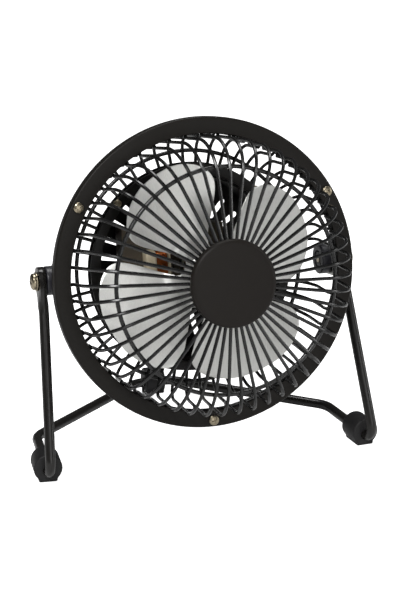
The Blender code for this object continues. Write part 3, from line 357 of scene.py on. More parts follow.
tube_paint = finish("tube_paint", (0.006, 0.0055, 0.005), (0.010, 0.009, 0.008), (0.24, 0.34),
                    grain=900, bump=0.12, Specular_IOR_Level=0.4)
fit(stand_tube, tube_paint, Matrix(), "stand", "stand_frame")


# ---- The feet. Three black rubber sleeves pushed over the tube: one behind each leg's bend and
# one on the apex at the back. Each has a thick sole under it, and soft rounded ends.
foot_radius = 0.0069
foot_centre = rail_height + 0.0012
sole_half = 0.0044
foot_length, rear_foot_length = 0.0130, 0.0105
rubber = finish("rubber", (0.009, 0.009, 0.0095), (0.015, 0.0145, 0.015), (0.48, 0.62), grain=1500,
                bump=0.3, Specular_IOR_Level=0.3)


def bevelled(piece, width, segments=3, angle=30):
    """Round a piece's sharp edges over, and smooth its faces between them."""
    step = piece.modifiers.new("rounded_edges", "BEVEL")
    step.width = width
    step.segments = segments
    step.limit_method = "ANGLE"
    step.angle_limit = radians(angle)
    step.harden_normals = False
    choose(piece)
    bpy.ops.object.modifier_apply(modifier=step.name)
    smooth(40)


def extruded(name, points, travel):
    """A closed outline of points, filled and drawn out along a straight travel."""
    piece = drawn_line(name, points, closed=True)
    bpy.ops.mesh.edge_face_add()
    bpy.ops.mesh.extrude_region_move(TRANSFORM_OT_translate={"value": travel})
    bpy.ops.mesh.select_all(action="SELECT")
    bpy.ops.mesh.normals_make_consistent(inside=False)
    bpy.ops.object.mode_set(mode="OBJECT")
    return piece


def rubber_foot(name, length):
    """A sleeve along Y: round over the top, with straight sides down to a flat sole."""
    outline = [(sole_half, 0)]
    outline += [(foot_radius * cos(radians(a)), foot_centre + foot_radius * sin(radians(a)))
                for a in range(-48, 229, 6)]
    outline += [(-sole_half, 0)]
    foot = extruded(name, [(x, -length / 2, z) for x, z in outline], (0, length, 0))
    bevelled(foot, 0.0007)
    carve(foot, cylinder(tube_radius + 0.0001, -length, length, centre=(0, rail_height)))
    smooth(40)
    return foot


def at(x, y, z):
    return Matrix.Translation((x, y, z))


bend_end = leg_bend * tan(down_leg.angle(rail_run) / 2) + gap
foot_middle = leg_foot + rail_run * (bend_end + foot_length / 2)
for side, node in ((-1, "foot_left"), (1, "foot_right")):
    foot = rubber_foot(node + "_rubber", foot_length)
    turn = Vector((0, 1)).angle_signed(Vector((side * rail_run.x, rail_run.y)))
    place = at(side * foot_middle.x, foot_middle.y, 0) @ Matrix.Rotation(-turn, 4, "Z")
    fit(foot, rubber, place, "stand", node)
rear_foot = rubber_foot("foot_rear_rubber", rear_foot_length)
fit(rear_foot, rubber, at(0, apex_corner.y, 0) @ Matrix.Rotation(pi / 2, 4, "Z"), "stand",
    "foot_rear")


# ---- The front ring. A steel pressing with a flat flange in front and a short rim round it,
# painted in a warm black. The cage and the clips are behind the flange, held by three screws.
head_frame = Matrix.Translation(pivot) @ Matrix(
    (Vector((1, 0, 0)), fan_axis, Vector((1, 0, 0)).cross(fan_axis))).transposed().to_4x4()


def in_head(node):
    """A node's lowest and highest corners, measured in the head's own frame."""
    points = [head_frame.inverted() @ vertex.co for vertex in frame["nodes"][node].data.vertices]
    return (Vector(min(point[k] for point in points) for k in range(3)),
            Vector(max(point[k] for point in points) for k in range(3)))


def lathe(name, profile, sides=64, closed=True):
    """Turn a profile of (radius, y) points about the Y axis; an open one has its ends on it."""
    piece = drawn_line(name, [(radius, y, 0) for radius, y in profile], closed)
    bpy.ops.mesh.spin(steps=sides, angle=2 * pi, center=(0, 0, 0), axis=(0, 1, 0))
    bpy.ops.mesh.select_all(action="SELECT")
    bpy.ops.mesh.remove_doubles(threshold=1e-6)
    bpy.ops.mesh.normals_make_consistent(inside=False)
    bpy.ops.object.mode_set(mode="OBJECT")
    smooth(35)
    return piece


def rounded(profile, radius, steps=3, closed=True):
    """The same profile with a small round in place of each of its corners."""
    count = len(profile)
    points = []
    for k, corner in enumerate(profile):
        if not closed and k in (0, count - 1):
            points.append(tuple(corner))
            continue
        corner = Vector(corner)
        into = Vector(profile[k - 1]) - corner
        away = Vector(profile[(k + 1) % count]) - corner
        reach = min(radius, into.length / 2.2, away.length / 2.2)
        start, end = corner + into.normalized() * reach, corner + away.normalized() * reach
        for step in range(steps + 1):
            t = step / steps
            points.append(tuple((1 - t) ** 2 * start + 2 * t * (1 - t) * corner + t * t * end))
    return points


ring_low, ring_high = in_head("front_ring")
flange_front = ring_low.y
ring_radius = ring_high.x
ring_sheet = 0.0009
edge_round = 0.0012
flange_inner = ring_radius - 0.0080
flange_screw_circle = 0.0715
flange_screw_angles = (30, 150, 270)
ring_back = ring_high.y
outline = rounded([(flange_inner, flange_front), (ring_radius, flange_front),
                   (ring_radius, ring_back), (ring_radius - ring_sheet, ring_back),
                   (ring_radius - ring_sheet, flange_front + ring_sheet),
                   (flange_inner, flange_front + ring_sheet)], 0.00035)
corner_in, corner_back = ring_radius - edge_round, flange_front + edge_round
outer_corner = [(corner_in + edge_round * sin(radians(a)),
                 corner_back - edge_round * cos(radians(a)))
                for a in range(0, 91, 15)]
skin = flange_front + 0.0004
outline = ([point for point in outline if point[0] < corner_in and point[1] < skin]
           + outer_corner
           + [point for point in outline if point[1] > corner_back
              or (point[1] > skin and point[0] < ring_radius - 0.0005)])
ring = lathe("front_ring_pressing", outline, sides=192)
for angle in flange_screw_angles:
    place = (flange_screw_circle * cos(radians(angle)), flange_screw_circle * sin(radians(angle)))
    carve(ring, cylinder(0.0017, flange_front - 0.002, flange_front + 0.004, centre=place,
                         sides=24))
smooth(35)
ring_paint = finish("ring_paint", (0.0082, 0.0072, 0.0061), (0.0117, 0.0103, 0.0087), (0.38, 0.48),
                    grain=1400, bump=0.22, Specular_IOR_Level=0.14)
fit(ring, ring_paint, head_frame, "head", "front_ring")


# ---- The cross-head screws. Pan heads with a cross recess, in warm nickel plate: three in the
# flange, one in each pivot and four in the clamp ring behind. Their shanks carry a thread.
nickel = finish("nickel", (0.24, 0.205, 0.145), (0.40, 0.35, 0.255), (0.24, 0.38), grain=1800,
                clouds=500, bump=0.15, metallic=1.0)
thread_pitch = 0.0005


def cross_head_screw(name, head, tall, shank, length):
    """A screw along +Y with the underside of its head at y = 0, its cross a little turned."""
    crown = [(head * sin(radians(a)), -tall * (0.35 + 0.65 * cos(radians(a))))
             for a in range(0, 91, 10)]
    turns = int((length - 0.0010) / thread_pitch)
    thread = []
    for turn in range(turns):
        start = 0.0005 + turn * thread_pitch
        thread += [(shank, start), (shank - 0.00022, start + thread_pitch / 2)]
    profile = crown + [(head, 0), (shank, 0)] + thread + [(shank - 0.0003, length), (0, length)]
    screw = lathe(name, profile, sides=32, closed=False)
    for turn in (radians(20), radians(110)):
        bar = slab((-0.62 * head, -1.2 * tall, -0.115 * head),
                   (0.62 * head, -0.35 * tall, 0.115 * head))
        settle(bar, Matrix.Rotation(turn, 4, "Y"))
        carve(screw, bar)
    smooth(32)
    return screw


for number, angle in enumerate(flange_screw_angles, start=1):
    node = f"flange_screw_{number}"
    low, high = in_head(node)
    tall, shank = 0.0014, 0.0014
    screw = cross_head_screw(node + "_plated", 0.0025, tall, shank, high.y - low.y - tall)
    middle = (low + high) / 2
    place = head_frame @ at(middle.x, low.y + tall, middle.z)
    place = place @ Matrix.Rotation(radians(17 * number), 4, "Y")
    fit(screw, nickel, place, "head", node)
for side, node in ((-1, "pivot_screw_left"), (1, "pivot_screw_right")):
    low, high = in_head(node)
    tall, shank = 0.0022, 0.0020
    screw = cross_head_screw(node + "_plated", 0.0040, tall, shank, high.x - low.x - tall)
    seat = low.x + tall if side < 0 else high.x - tall
    place = head_frame @ at(seat, 0, 0) @ Matrix.Rotation(side * pi / 2, 4, "Z")
    fit(screw, nickel, place, "head", node)
for number in range(1, 5):
    node = f"clamp_screw_{number}"
    low, high = in_head(node)
    tall, shank = 0.0012, 0.0012
    screw = cross_head_screw(node + "_plated", 0.0019, tall, shank, high.y - low.y - tall)
    middle = (low + high) / 2
    fit(screw, nickel, head_frame @ at(middle.x, low.y + tall, middle.z), "head", node)


# ---- The cages. 52 round steel wires in front and 48 behind, all leaning the same way, spot
# welded to rings and dipped in gloss black. The front ones turn in to a small ring behind the cap.
wire_count = 52
wire_radius = 0.00085
ring_wire_radius = 0.0010
cage_radius = 0.0656
lean = radians(2.5) / 0.032
hoop_radius = flange_inner + wire_radius - 0.0002
front_wires = in_head("front_grille")[0].y + wire_radius
rear_wires = in_head("rear_grille")[1].y - wire_radius
wire_paint = finish("wire_paint", (0.005, 0.005, 0.005), (0.009, 0.009, 0.009), (0.20, 0.30),
                    grain=1100, clouds=150, bump=0.10, Specular_IOR_Level=0.4)


def corner_arc(middle, radius, start, end, steps):
    """Points on a round stretch of a (radius, y) path; angles in degrees."""
    return [(middle[0] + radius * cos(radians(start + (end - start) * k / steps)),
             middle[1] + radius * sin(radians(start + (end - start) * k / steps)))
             for k in range(steps + 1)]


def straight(start, end, steps):
    """Points between the ends of a straight stretch, without the ends themselves."""
    return [(start[0] + (end[0] - start[0]) * k / steps, start[1] + (end[1] - start[1]) * k / steps)
            for k in range(1, steps)]


def round_ring(name, radius, y, thickness):
    """A welded ring of round wire about the fan's axis."""
    bpy.ops.object.select_all(action="DESELECT")
    bpy.ops.mesh.primitive_torus_add(location=(0, y, 0), rotation=(pi / 2, 0, 0),
                                     major_segments=144,
                                     minor_segments=14, major_radius=radius, minor_radius=thickness)
    keep_place()
    piece = bpy.context.object
    piece.name = name
    bpy.ops.object.shade_smooth()
    return piece


def copied(piece, turn):
    """A copy with its own mesh, turned about the fan's axis."""
    copy = piece.copy()
    copy.data = piece.data.copy()
    bpy.context.scene.collection.objects.link(copy)
    copy.matrix_world = Matrix.Rotation(turn, 4, "Y")
    return copy


def wire_cage(name, node, path, rings, skipped=()):
    """Copies of one bent wire round the axis, joined with the rings that they are welded to."""
    points = []
    for radius, y in path:
        angle = lean * (y - flange_front)
        points.append(Vector((radius * cos(angle), y, radius * sin(angle))))
    first = bent_bar(name, points, wire_radius, roundness=2)
    wires = []
    for k in range(wire_count):
        if k in skipped:
            continue
        wires.append(copied(first, -2 * pi * k / wire_count))
    bpy.data.objects.remove(first)
    bpy.ops.object.select_all(action="DESELECT")
    for piece in wires + rings:
        piece.select_set(True)
    bpy.context.view_layer.objects.active = wires[0]
    bpy.ops.object.join()
    cage = bpy.context.object
    keep_place()
    cage.name = name
    fit(cage, wire_paint, head_frame, "head", node)


front_corner = 0.0180
flat_end = cage_radius - front_corner
corner_start = front_wires + 0.0027
corner_middle = (flat_end, corner_start + front_corner)
inner_end = (0.0143, front_wires)
front_hoop = flange_front + 0.0031
front_path = [inner_end] + straight(inner_end, (flat_end, corner_start), 5)
front_path += corner_arc(corner_middle, front_corner, -90, 0, 14)
front_path += straight((cage_radius, corner_middle[1]), (cage_radius, flange_front + ring_sheet), 6)
front_path += [(cage_radius, flange_front + ring_sheet), (hoop_radius, front_hoop - 0.0004),
               (hoop_radius, front_hoop + 0.0010)]
weld_reach = front_corner - wire_radius - ring_wire_radius + 0.0002
weld_ring_radius = 0.0531
weld_rise = sqrt(weld_reach ** 2 - (weld_ring_radius - flat_end) ** 2)
wire_cage("front_cage", "front_grille", front_path, [
    round_ring("hub_ring", 0.0153, front_wires + wire_radius + 0.0003, ring_wire_radius),
    round_ring("weld_ring", weld_ring_radius, corner_middle[1] - weld_rise, ring_wire_radius),
    round_ring("front_hoop", hoop_radius, front_hoop, ring_wire_radius)])

rear_corner = 0.0080
rear_inner = 0.0462
rear_hoop = flange_front + 0.0054
rear_flat = cage_radius - rear_corner
rear_path = [(hoop_radius, rear_hoop - 0.0010), (hoop_radius, rear_hoop + 0.0004),
             (cage_radius, rear_hoop + 0.0016)]
rear_path += straight(rear_path[-1], (cage_radius, rear_wires - rear_corner), 6)
rear_path += corner_arc((rear_flat, rear_wires - rear_corner), rear_corner, 0, 90, 10)
rear_path += [(rear_inner, rear_wires)]
wire_cage("rear_cage", "rear_grille", rear_path, [
    round_ring("rear_hoop", hoop_radius, rear_hoop, ring_wire_radius),
    round_ring("rear_weld_ring", rear_flat, rear_wires + wire_radius + ring_wire_radius - 0.0002,
               ring_wire_radius),
    round_ring("inner_ring", rear_inner + ring_wire_radius, rear_wires, wire_radius)],
    skipped=(0, wire_count // 2 - 1, wire_count // 2, wire_count - 1))


# ---- The cap. A moulded brown-black dish over the wires' inner ends, with a plain face and a
# rolled edge. A steel plate behind the wires and one screw from inside draw it tight.
cap_low, cap_high = in_head("front_cap")
cap_radius = cap_high.x
cap_front = cap_low.y
cap_back = in_head("front_grille")[0].y - 0.0003
cap_wall = 0.0014
edge_round = 0.0024
face_radius = cap_radius - edge_round
cap_outline = [(0, cap_front), (face_radius - 0.0010, cap_front)]
cap_outline += [(face_radius + edge_round * sin(radians(a)), cap_front + 0.0001
                 + edge_round * 0.72 * (1 - cos(radians(a)))) for a in range(5, 91, 8)]
cap_outline += [(cap_radius, cap_back - 0.0002), (cap_radius - 0.0003, cap_back),
                (cap_radius - cap_wall, cap_back),
                (cap_radius - cap_wall, cap_front + cap_wall + 0.0012),
                (cap_radius - cap_wall - 0.0015, cap_front + cap_wall),
                (0.0038, cap_front + cap_wall),
                (0.0038, cap_high.y), (0.0017, cap_high.y), (0.0017, cap_front + cap_wall),
                (0, cap_front + cap_wall)]
cap = lathe("cap_moulding", cap_outline, sides=128, closed=False)
cap_plastic = finish("cap_plastic", (0.0090, 0.0074, 0.0062), (0.0124, 0.0104, 0.0089),
                     (0.40, 0.52), grain=2600, bump=0.25, Specular_IOR_Level=0.14)
fit(cap, cap_plastic, head_frame, "head", "front_cap")

plate_low, plate_high = in_head("cap_backing_plate")
def band(name, inner, outer, start, end, corner, sides=64):
    """A washer, bush, spacer or flat ring about the Y axis, with its corners rounded."""
    outline = [(inner, start), (outer, start), (outer, end), (inner, end)]
    return lathe(name, rounded(outline, corner), sides)


plate = band("cap_plate", 0.0017, plate_high.x, plate_low.y, plate_high.y, 0.0003)
fit(plate, wire_paint, head_frame, "head", "cap_backing_plate")

screw_low, screw_high = in_head("cap_screw")
tall, shank = 0.0016, 0.0014
screw = cross_head_screw("cap_screw_plated", 0.0029, tall, shank, screw_high.y - screw_low.y - tall)
fit(screw, nickel, head_frame @ at(0, screw_high.y - tall, 0) @ Matrix.Rotation(pi, 4, "Z"), "head",
    "cap_screw")


# ---- The blades. One aluminium stamping: a flat middle and four broad petals, each twisted in
# the press and rounded at its tip. The rolling grain runs one way across the sheet.
spindle = joints["fan_spin"]["pos_m"]
blade_plane = (head_frame.inverted() @ Vector(spindle)).y
blade_tip = 0.0545
blade_root = 0.0125
blade_sheet = 0.0009
blade_pitch = radians(20)
blade_phase = radians(27)
blade_count = 4
bore = 0.0021
rivet_circle = 0.0092
blade_columns, waist_columns = 20, 3
disc_rows, blade_rows = 5, 34


def half_angle(share):
    """Half of the angle that a blade spans, at this share of its length from root to tip."""
    width = radians(26) + radians(11.5) * sin(min(share / 0.65, 1) * pi / 2)
    if share > 0.65:
        width *= sqrt(1 - 0.93 * ((share - 0.65) / 0.35) ** 2.4)
    return width + radians(9) * max(0, 1 - share / 0.06) ** 2


bpy.ops.object.select_all(action="DESELECT")
bpy.ops.mesh.primitive_grid_add(x_subdivisions=blade_columns + 2 * waist_columns,
                                y_subdivisions=disc_rows + blade_rows, size=2)
blade = bpy.context.object
blade.name = "blade_sheet"
columns = blade_columns + 2 * waist_columns
rows = disc_rows + blade_rows
spare = []
for vertex in blade.data.vertices:
    column = round((vertex.co.x + 1) / 2 * columns)
    row = round((vertex.co.y + 1) / 2 * rows)
    share = max(0, (row - disc_rows) / blade_rows)
    share = 1 - (1 - share) ** 1.35
    inner = min(max(column - waist_columns, 0), blade_columns)
    spread = half_angle(share) * (2 * inner / blade_columns - 1)
    waist = max(waist_columns - column, column - waist_columns - blade_columns, 0)
    if waist:
        spread += (1 if column > waist_columns else -1) * (pi / blade_count - half_angle(0)) * (
            waist / waist_columns)
        if row > disc_rows:
            spare.append(vertex.index)
    radius = blade_root + (blade_tip - blade_root) * share
    if row < disc_rows:
        radius = bore + (blade_root - bore) * row / disc_rows
    lift = min(share / 0.22, 1)
    y = -radius * sin(spread) * tan(blade_pitch) * lift * lift * (3 - 2 * lift)
    vertex.co = (radius * cos(spread + blade_phase), y, radius * sin(spread + blade_phase))
for vertex in blade.data.vertices:
    vertex.select = False
for edge in blade.data.edges:
    edge.select = False
for polygon in blade.data.polygons:
    polygon.select = False
for index in spare:
    blade.data.vertices[index].select = True
bpy.ops.object.mode_set(mode="EDIT")
bpy.ops.mesh.delete(type="VERT")
bpy.ops.object.mode_set(mode="OBJECT")
for quarter in range(1, blade_count):
    copied(blade, 2 * pi * quarter / blade_count).select_set(True)
blade.select_set(True)
bpy.context.view_layer.objects.active = blade
bpy.ops.object.join()
bpy.ops.object.mode_set(mode="EDIT")
bpy.ops.mesh.select_all(action="SELECT")
bpy.ops.mesh.remove_doubles(threshold=2e-5)
bpy.ops.mesh.normals_make_consistent(inside=False)
bpy.ops.object.mode_set(mode="OBJECT")
thickness = blade.modifiers.new("sheet", "SOLIDIFY")
thickness.thickness = blade_sheet
thickness.offset = 0
bpy.ops.object.modifier_apply(modifier="sheet")
bevelled(blade, 0.00022, 2, 50)
for k in range(4):
    angle = radians(45 + 90 * k)
    place = (rivet_circle * cos(angle), rivet_circle * sin(angle))
    carve(blade, cylinder(0.0011, -0.002, 0.002, centre=place, sides=16))
smooth(35)
blade_metal = finish("blade_metal", (0.58, 0.58, 0.56), (0.78, 0.78, 0.75), (0.30, 0.44), grain=260,
                     clouds=45,
                     stretch=(9.0, 9.0, 0.35), bump=0.16, metallic=0.68, grain_in_colour=True)
rotor_frame = head_frame @ at(0, blade_plane, 0)
fit(blade, blade_metal, rotor_frame, "rotor", "fan_blades")


# ---- The hub. A turned steel boss with a flange, riveted behind the blades' flat middle by four
# aluminium rivets and fixed on the shaft by a grub screw through its side.
zinc_steel = finish("zinc_steel", (0.36, 0.36, 0.34), (0.52, 0.52, 0.49), (0.30, 0.44), grain=1500,
                    clouds=220, bump=0.14, metallic=1.0)
hub_low, hub_high = in_head("blade_hub")
hub_start, hub_end = hub_low.y - blade_plane, hub_high.y - blade_plane
hub_flange = hub_high.x
hub_radius = 0.0065
shaft_hole = 0.0018
flange_back = hub_start + 0.0013
outline = [(shaft_hole, hub_start), (hub_flange, hub_start), (hub_flange, flange_back),
           (hub_radius, flange_back), (hub_radius, hub_end), (shaft_hole, hub_end)]
hub = lathe("hub_turning", rounded(outline, 0.0003))
bpy.ops.object.select_all(action="DESELECT")
bpy.ops.mesh.primitive_cylinder_add(vertices=24, radius=0.0018, depth=0.0095,
                                    location=(0, hub_start + 0.65 * (hub_end - hub_start), 0.00525))
keep_place()
carve(hub, bpy.context.object)
smooth(35)
fit(hub, zinc_steel, rotor_frame, "rotor", "blade_hub")
for number in range(1, 5):
    node = f"blade_rivet_{number}"
    low, high = in_head(node)
    near, far = low.y - blade_plane, high.y - blade_plane
    dome = 0.0008
    outline = [(0.0016 * sin(radians(a)), near + dome * (1 - cos(radians(a))))
               for a in range(0, 91, 15)]
    outline += [(0.0009, near + dome), (0.0009, far - dome)]
    outline += [(0.0016 * cos(radians(a)), far - dome + dome * sin(radians(a)))
                for a in range(0, 91, 15)]
    rivet = lathe(node + "_headed", outline, sides=24, closed=False)
    middle = (low + high) / 2
    place = rotor_frame @ at(middle.x, 0, middle.z)
    fit(rivet, blade_metal, place, "rotor", node)
wear(frame["nodes"]["hub_grub_screw"], zinc_steel)


# ---- The shaft and the rotor. A ground 3 mm shaft with a domed front end, carrying the motor's
# round laminated rotor between two nylon thrust washers.
shaft_low, shaft_high = in_head("rotor_shaft")
shaft_radius = 0.0015
shaft_start, shaft_end = shaft_low.y - blade_plane, shaft_high.y - blade_plane
shaft = lathe("ground_shaft", [(0, shaft_start), (0.0008, shaft_start + 0.0001),
                               (0.0012, shaft_start + 0.0003), (shaft_radius, shaft_start + 0.0008),
                               (shaft_radius, shaft_end - 0.0003),
                               (shaft_radius - 0.0003, shaft_end), (0, shaft_end)], sides=40,
                               closed=False)
fit(shaft, zinc_steel, rotor_frame, "rotor", "rotor_shaft")
stack_steel = finish("stack_steel", (0.075, 0.062, 0.046), (0.135, 0.115, 0.088), (0.38, 0.55),
                     grain=1600, clouds=180, bump=0.3, metallic=0.75)
core_low, core_high = in_head("rotor_core")
core_start, core_end = core_low.y - blade_plane, core_high.y - blade_plane
core_radius = core_high.x
plates = 26
plate_pitch = (core_end - core_start) / plates
outline = [(shaft_hole, core_start)]
for k in range(plates):
    start = core_start + k * plate_pitch
    outline += [(core_radius, start + 0.00003), (core_radius, start + 0.75 * plate_pitch),
                (core_radius - 0.00012, start + 0.88 * plate_pitch)]
outline += [(shaft_hole, core_end)]
rotor = lathe("rotor_stack", outline, sides=48)
fit(rotor, stack_steel, rotor_frame, "rotor", "rotor_core")
nylon = finish("bobbin_nylon", (0.62, 0.52, 0.36), (0.74, 0.65, 0.48), (0.38, 0.50), grain=1800,
               bump=0.12)
for node in ("thrust_washer_front", "thrust_washer_rear"):
    wear(frame["nodes"][node], nylon)


# ---- The stator. 24 stamped steel plates with a round bore and a coil window, a separate core
# bar through the coil, and a copper shading loop let into each pole.
stack_low, stack_high = in_head("stator_frame")
plates = 24
plate_pitch = (stack_high.y - stack_low.y) / plates
plate_thick = plate_pitch - 0.00005
motor_screw_z, motor_screw_hole = 0.0173, 0.0018
window_left, window_right, window_half = -0.0240, -0.0112, 0.0100
bar_low, bar_high = in_head("core_bar")
bore_radius = core_radius + 0.0004


def stacked(piece, count, travel):
    """Repeat a piece in a row, each one a travel further on than the one before."""
    row = piece.modifiers.new("row", "ARRAY")
    row.count = count
    row.use_relative_offset = False
    row.use_constant_offset = True
    row.constant_offset_displace = travel
    bpy.ops.object.modifier_apply(modifier="row")


lamination = slab(stack_low, (stack_high.x, stack_low.y + plate_thick, stack_high.z))
lamination.name = "stator_stack"
through = (stack_low.y - 0.001, stack_low.y + 0.002)
carve(lamination, slab((window_left, through[0], -window_half),
                       (window_right, through[1], window_half)))
carve(lamination, slab((bar_low.x - 0.0003, through[0], bar_low.z - 0.0003),
                       (bar_high.x + 0.0003, through[1], bar_high.z + 0.0003)))
carve(lamination, cylinder(bore_radius, *through, sides=64))
for side in (1, -1):
    carve(lamination, cylinder(motor_screw_hole, *through, centre=(0, side * motor_screw_z),
                               sides=24))
for angle in (60, 240):
    for start in (0.0100, 0.0136):
        slot = slab((start - 0.0003, through[0], -0.0009), (start + 0.0015, through[1], 0.0009))
        settle(slot, Matrix.Rotation(-radians(angle), 4, "Y"))
        carve(lamination, slot)
stacked(lamination, plates, (0, plate_pitch, 0))
fit(lamination, stack_steel, head_frame, "head", "stator_frame")
bar = slab(bar_low, (bar_high.x, bar_low.y + plate_thick, bar_high.z))
bar.name = "core_bar_stack"
stacked(bar, plates, (0, plate_pitch, 0))
fit(bar, stack_steel, head_frame, "head", "core_bar")
copper = finish("copper", (0.42, 0.115, 0.030), (0.66, 0.230, 0.070), (0.24, 0.36), grain=900,
                clouds=260, bump=0.15, metallic=0.85)
for node in ("shading_loop_1", "shading_loop_2"):
    wear(frame["nodes"][node], copper)


# ---- The coil. Enamelled copper wire wound in close upright turns on a cream nylon bobbin whose
# axis lies along the core bar. Its outer end is thick, to hold the terminals, and its inner thin.
coil_low, coil_high = in_head("coil_winding")
bobbin_low, bobbin_high = in_head("coil_bobbin")
coil_wire = 0.00023
coil_corner = 0.0040


def racetrack(low, high, corner, x, steps=6):
    """A rounded rectangle of points in a plane across X."""
    points = []
    for quarter, (y, z) in enumerate(((high.y - corner, high.z - corner),
                                      (low.y + corner, high.z - corner),
                                      (low.y + corner, low.z + corner),
                                      (high.y - corner, low.z + corner))):
        for k in range(steps + 1):
            angle = radians(90 * quarter + 90 * k / steps)
            points.append((x, y + corner * cos(angle), z + corner * sin(angle)))
    return points


margin = Vector((coil_wire, coil_wire, coil_wire))
loop = racetrack(coil_low + margin, coil_high - margin, coil_corner, coil_low.x + coil_wire)
first_turn = bent_bar("coil_turns", loop, coil_wire, roundness=1, closed=True)
turns = int((coil_high.x - coil_low.x) / (1.9 * coil_wire))
stacked(first_turn, turns, ((coil_high.x - coil_low.x - 2 * coil_wire) / (turns - 1), 0, 0))
fit(first_turn, copper, head_frame, "head", "coil_winding")

terminal_end, thin_end = 0.0050, 0.0012
bobbin = extruded("bobbin_moulding", racetrack(bobbin_low, bobbin_high, coil_corner, bobbin_low.x),
                  (bobbin_high.x - bobbin_low.x, 0, 0))
carve(bobbin, slab((bobbin_low.x + terminal_end, bobbin_low.y - 0.001, bobbin_low.z - 0.001),
                   (bobbin_high.x - thin_end, bobbin_high.y + 0.001, bobbin_high.z + 0.001)))
carve(bobbin, slab((bobbin_low.x + terminal_end / 2, bar_low.y - 0.0013, bar_low.z - 0.0013),
                   (bobbin_high.x - thin_end / 2, bar_high.y + 0.0013, bar_high.z + 0.0013)),
                   "UNION")
carve(bobbin, slab((bobbin_low.x - 0.001, bar_low.y - 0.0002, bar_low.z - 0.0002),
                   (bobbin_high.x + 0.001, bar_high.y + 0.0002, bar_high.z + 0.0002)))
bevelled(bobbin, 0.0003)
fit(bobbin, nylon, head_frame, "head", "coil_bobbin")


# ---- The bearing bridges. Pressed zinc-plated straps over the rotor, in front and behind, each
# with a drawn boss that holds a bronze bush. Two long screws pass through both and the stack.
bronze = finish("bronze", (0.33, 0.20, 0.075), (0.50, 0.33, 0.15), (0.32, 0.46), grain=2200,
                bump=0.25, metallic=1.0)
bridge_sheet, bridge_rise, bridge_span = 0.0015, 0.0047, 0.0115
for node, outward in (("bearing_bracket_front", -1), ("bearing_bracket_rear", 1)):
    low, high = in_head(node)
    base = high.y if outward < 0 else low.y
    near = base + outward * bridge_sheet
    top = near + outward * bridge_rise
    half = [(bridge_span, top - outward * bridge_sheet), (bridge_span, near), (high.z, near),
            (high.z, base), (bridge_span + bridge_sheet, base), (bridge_span + bridge_sheet, top)]
    outline = half + [(-z, y) for z, y in reversed(half)]
    bridge = extruded(node + "_pressing", [(low.x, y, z) for z, y in outline],
                      (high.x - low.x, 0, 0))
    bevelled(bridge, 0.0004)
    bush_low, bush_high = in_head("bearing_front" if outward < 0 else "bearing_rear")
    boss = cylinder(0.0056, bush_low.y - 0.0003, bush_high.y + 0.0003, sides=48)
    bevelled(boss, 0.0004)
    carve(bridge, boss, "UNION")
    carve(bridge, cylinder(0.0043, bush_low.y - 0.01, bush_high.y + 0.01, sides=48))
    for side in (1, -1):
        carve(bridge, cylinder(motor_screw_hole, base - 0.003, base + 0.003,
                               centre=(0, side * motor_screw_z), sides=24))
    smooth(35)
    fit(bridge, zinc_steel, head_frame, "head", node)
bush_bore = 0.00158
for node in ("bearing_front", "bearing_rear"):
    low, high = in_head(node)
    bush = band(node + "_bush", bush_bore, high.x, low.y, high.y, 0.0004, 48)
    fit(bush, bronze, head_frame, "head", node)
for number in (1, 2):
    node = f"motor_screw_{number}"
    low, high = in_head(node)
    tall, shank = 0.0016, 0.0015
    screw = cross_head_screw(node + "_plated", 0.0024, tall, shank, high.y - low.y - tall)
    place = head_frame @ at(0, low.y + tall, (low.z + high.z) / 2)
    fit(screw, zinc_steel, place, "head", node)


# ---- The motor housing. A drawn steel cup with round-ended cooling slots in its back, a hole
# for the switch and one for the cord's gland, and a flange that the rear cage is clamped to.
cup_low, cup_high = in_head("motor_housing")
cup_flange = cup_high.x
cup_front, cup_back = cup_low.y, cup_high.y
cup_radius, cup_wall, cup_round = 0.0467, 0.0012, 0.0060
slot_count, slot_inner, slot_outer, slot_half = 26, 0.0280, 0.0400, 0.0014
switch_x, switch_wide, switch_tall = 0.0310, 0.0044, 0.0072
gland_z = -0.0330
corner = cup_radius - cup_round
turn_y = cup_back - cup_round
outline = [(0, cup_back - cup_wall)]
outline += corner_arc((corner, turn_y), cup_round - cup_wall, 90, 0, 8)
cup_inner, brim_back = cup_radius - cup_wall, cup_front + cup_wall
outline += [(cup_inner, cup_front + 0.0006), (cup_inner + 0.0006, cup_front),
            (cup_flange - 0.0003, cup_front), (cup_flange, cup_front + 0.0003),
            (cup_flange, brim_back - 0.0003), (cup_flange - 0.0003, brim_back),
            (cup_radius + 0.0005, brim_back), (cup_radius, brim_back + 0.0005)]
outline += corner_arc((corner, turn_y), cup_round, 0, 90, 8)
outline += [(0, cup_back)]
housing = lathe("housing_cup", outline, sides=160, closed=False)
for side in (1, -1):
    boss_foot = in_head("bearing_bracket_rear")[0].y
    boss = cylinder(0.0036, boss_foot + bridge_sheet + gap, cup_back - cup_wall / 2,
                    centre=(0, side * motor_screw_z), sides=32)
    carve(housing, boss, "UNION")
    carve(housing, cylinder(motor_screw_hole, boss_foot, cup_back - cup_wall,
                            centre=(0, side * motor_screw_z), sides=24))
for number in range(1, 5):
    low, high = in_head(f"clamp_screw_{number}")
    carve(housing, cylinder(0.0015, cup_front - 0.001, cup_front + cup_wall + 0.001,
                            centre=((low.x + high.x) / 2, (low.z + high.z) / 2), sides=20))
carve(housing, slab((switch_x - switch_wide - gap, cup_back - 0.003, -switch_tall - gap),
                    (switch_x + switch_wide + gap, cup_back + 0.002, switch_tall + gap)))
carve(housing, cylinder(0.0039, cup_back - 0.003, cup_back + 0.002, centre=(0, gland_z), sides=32))
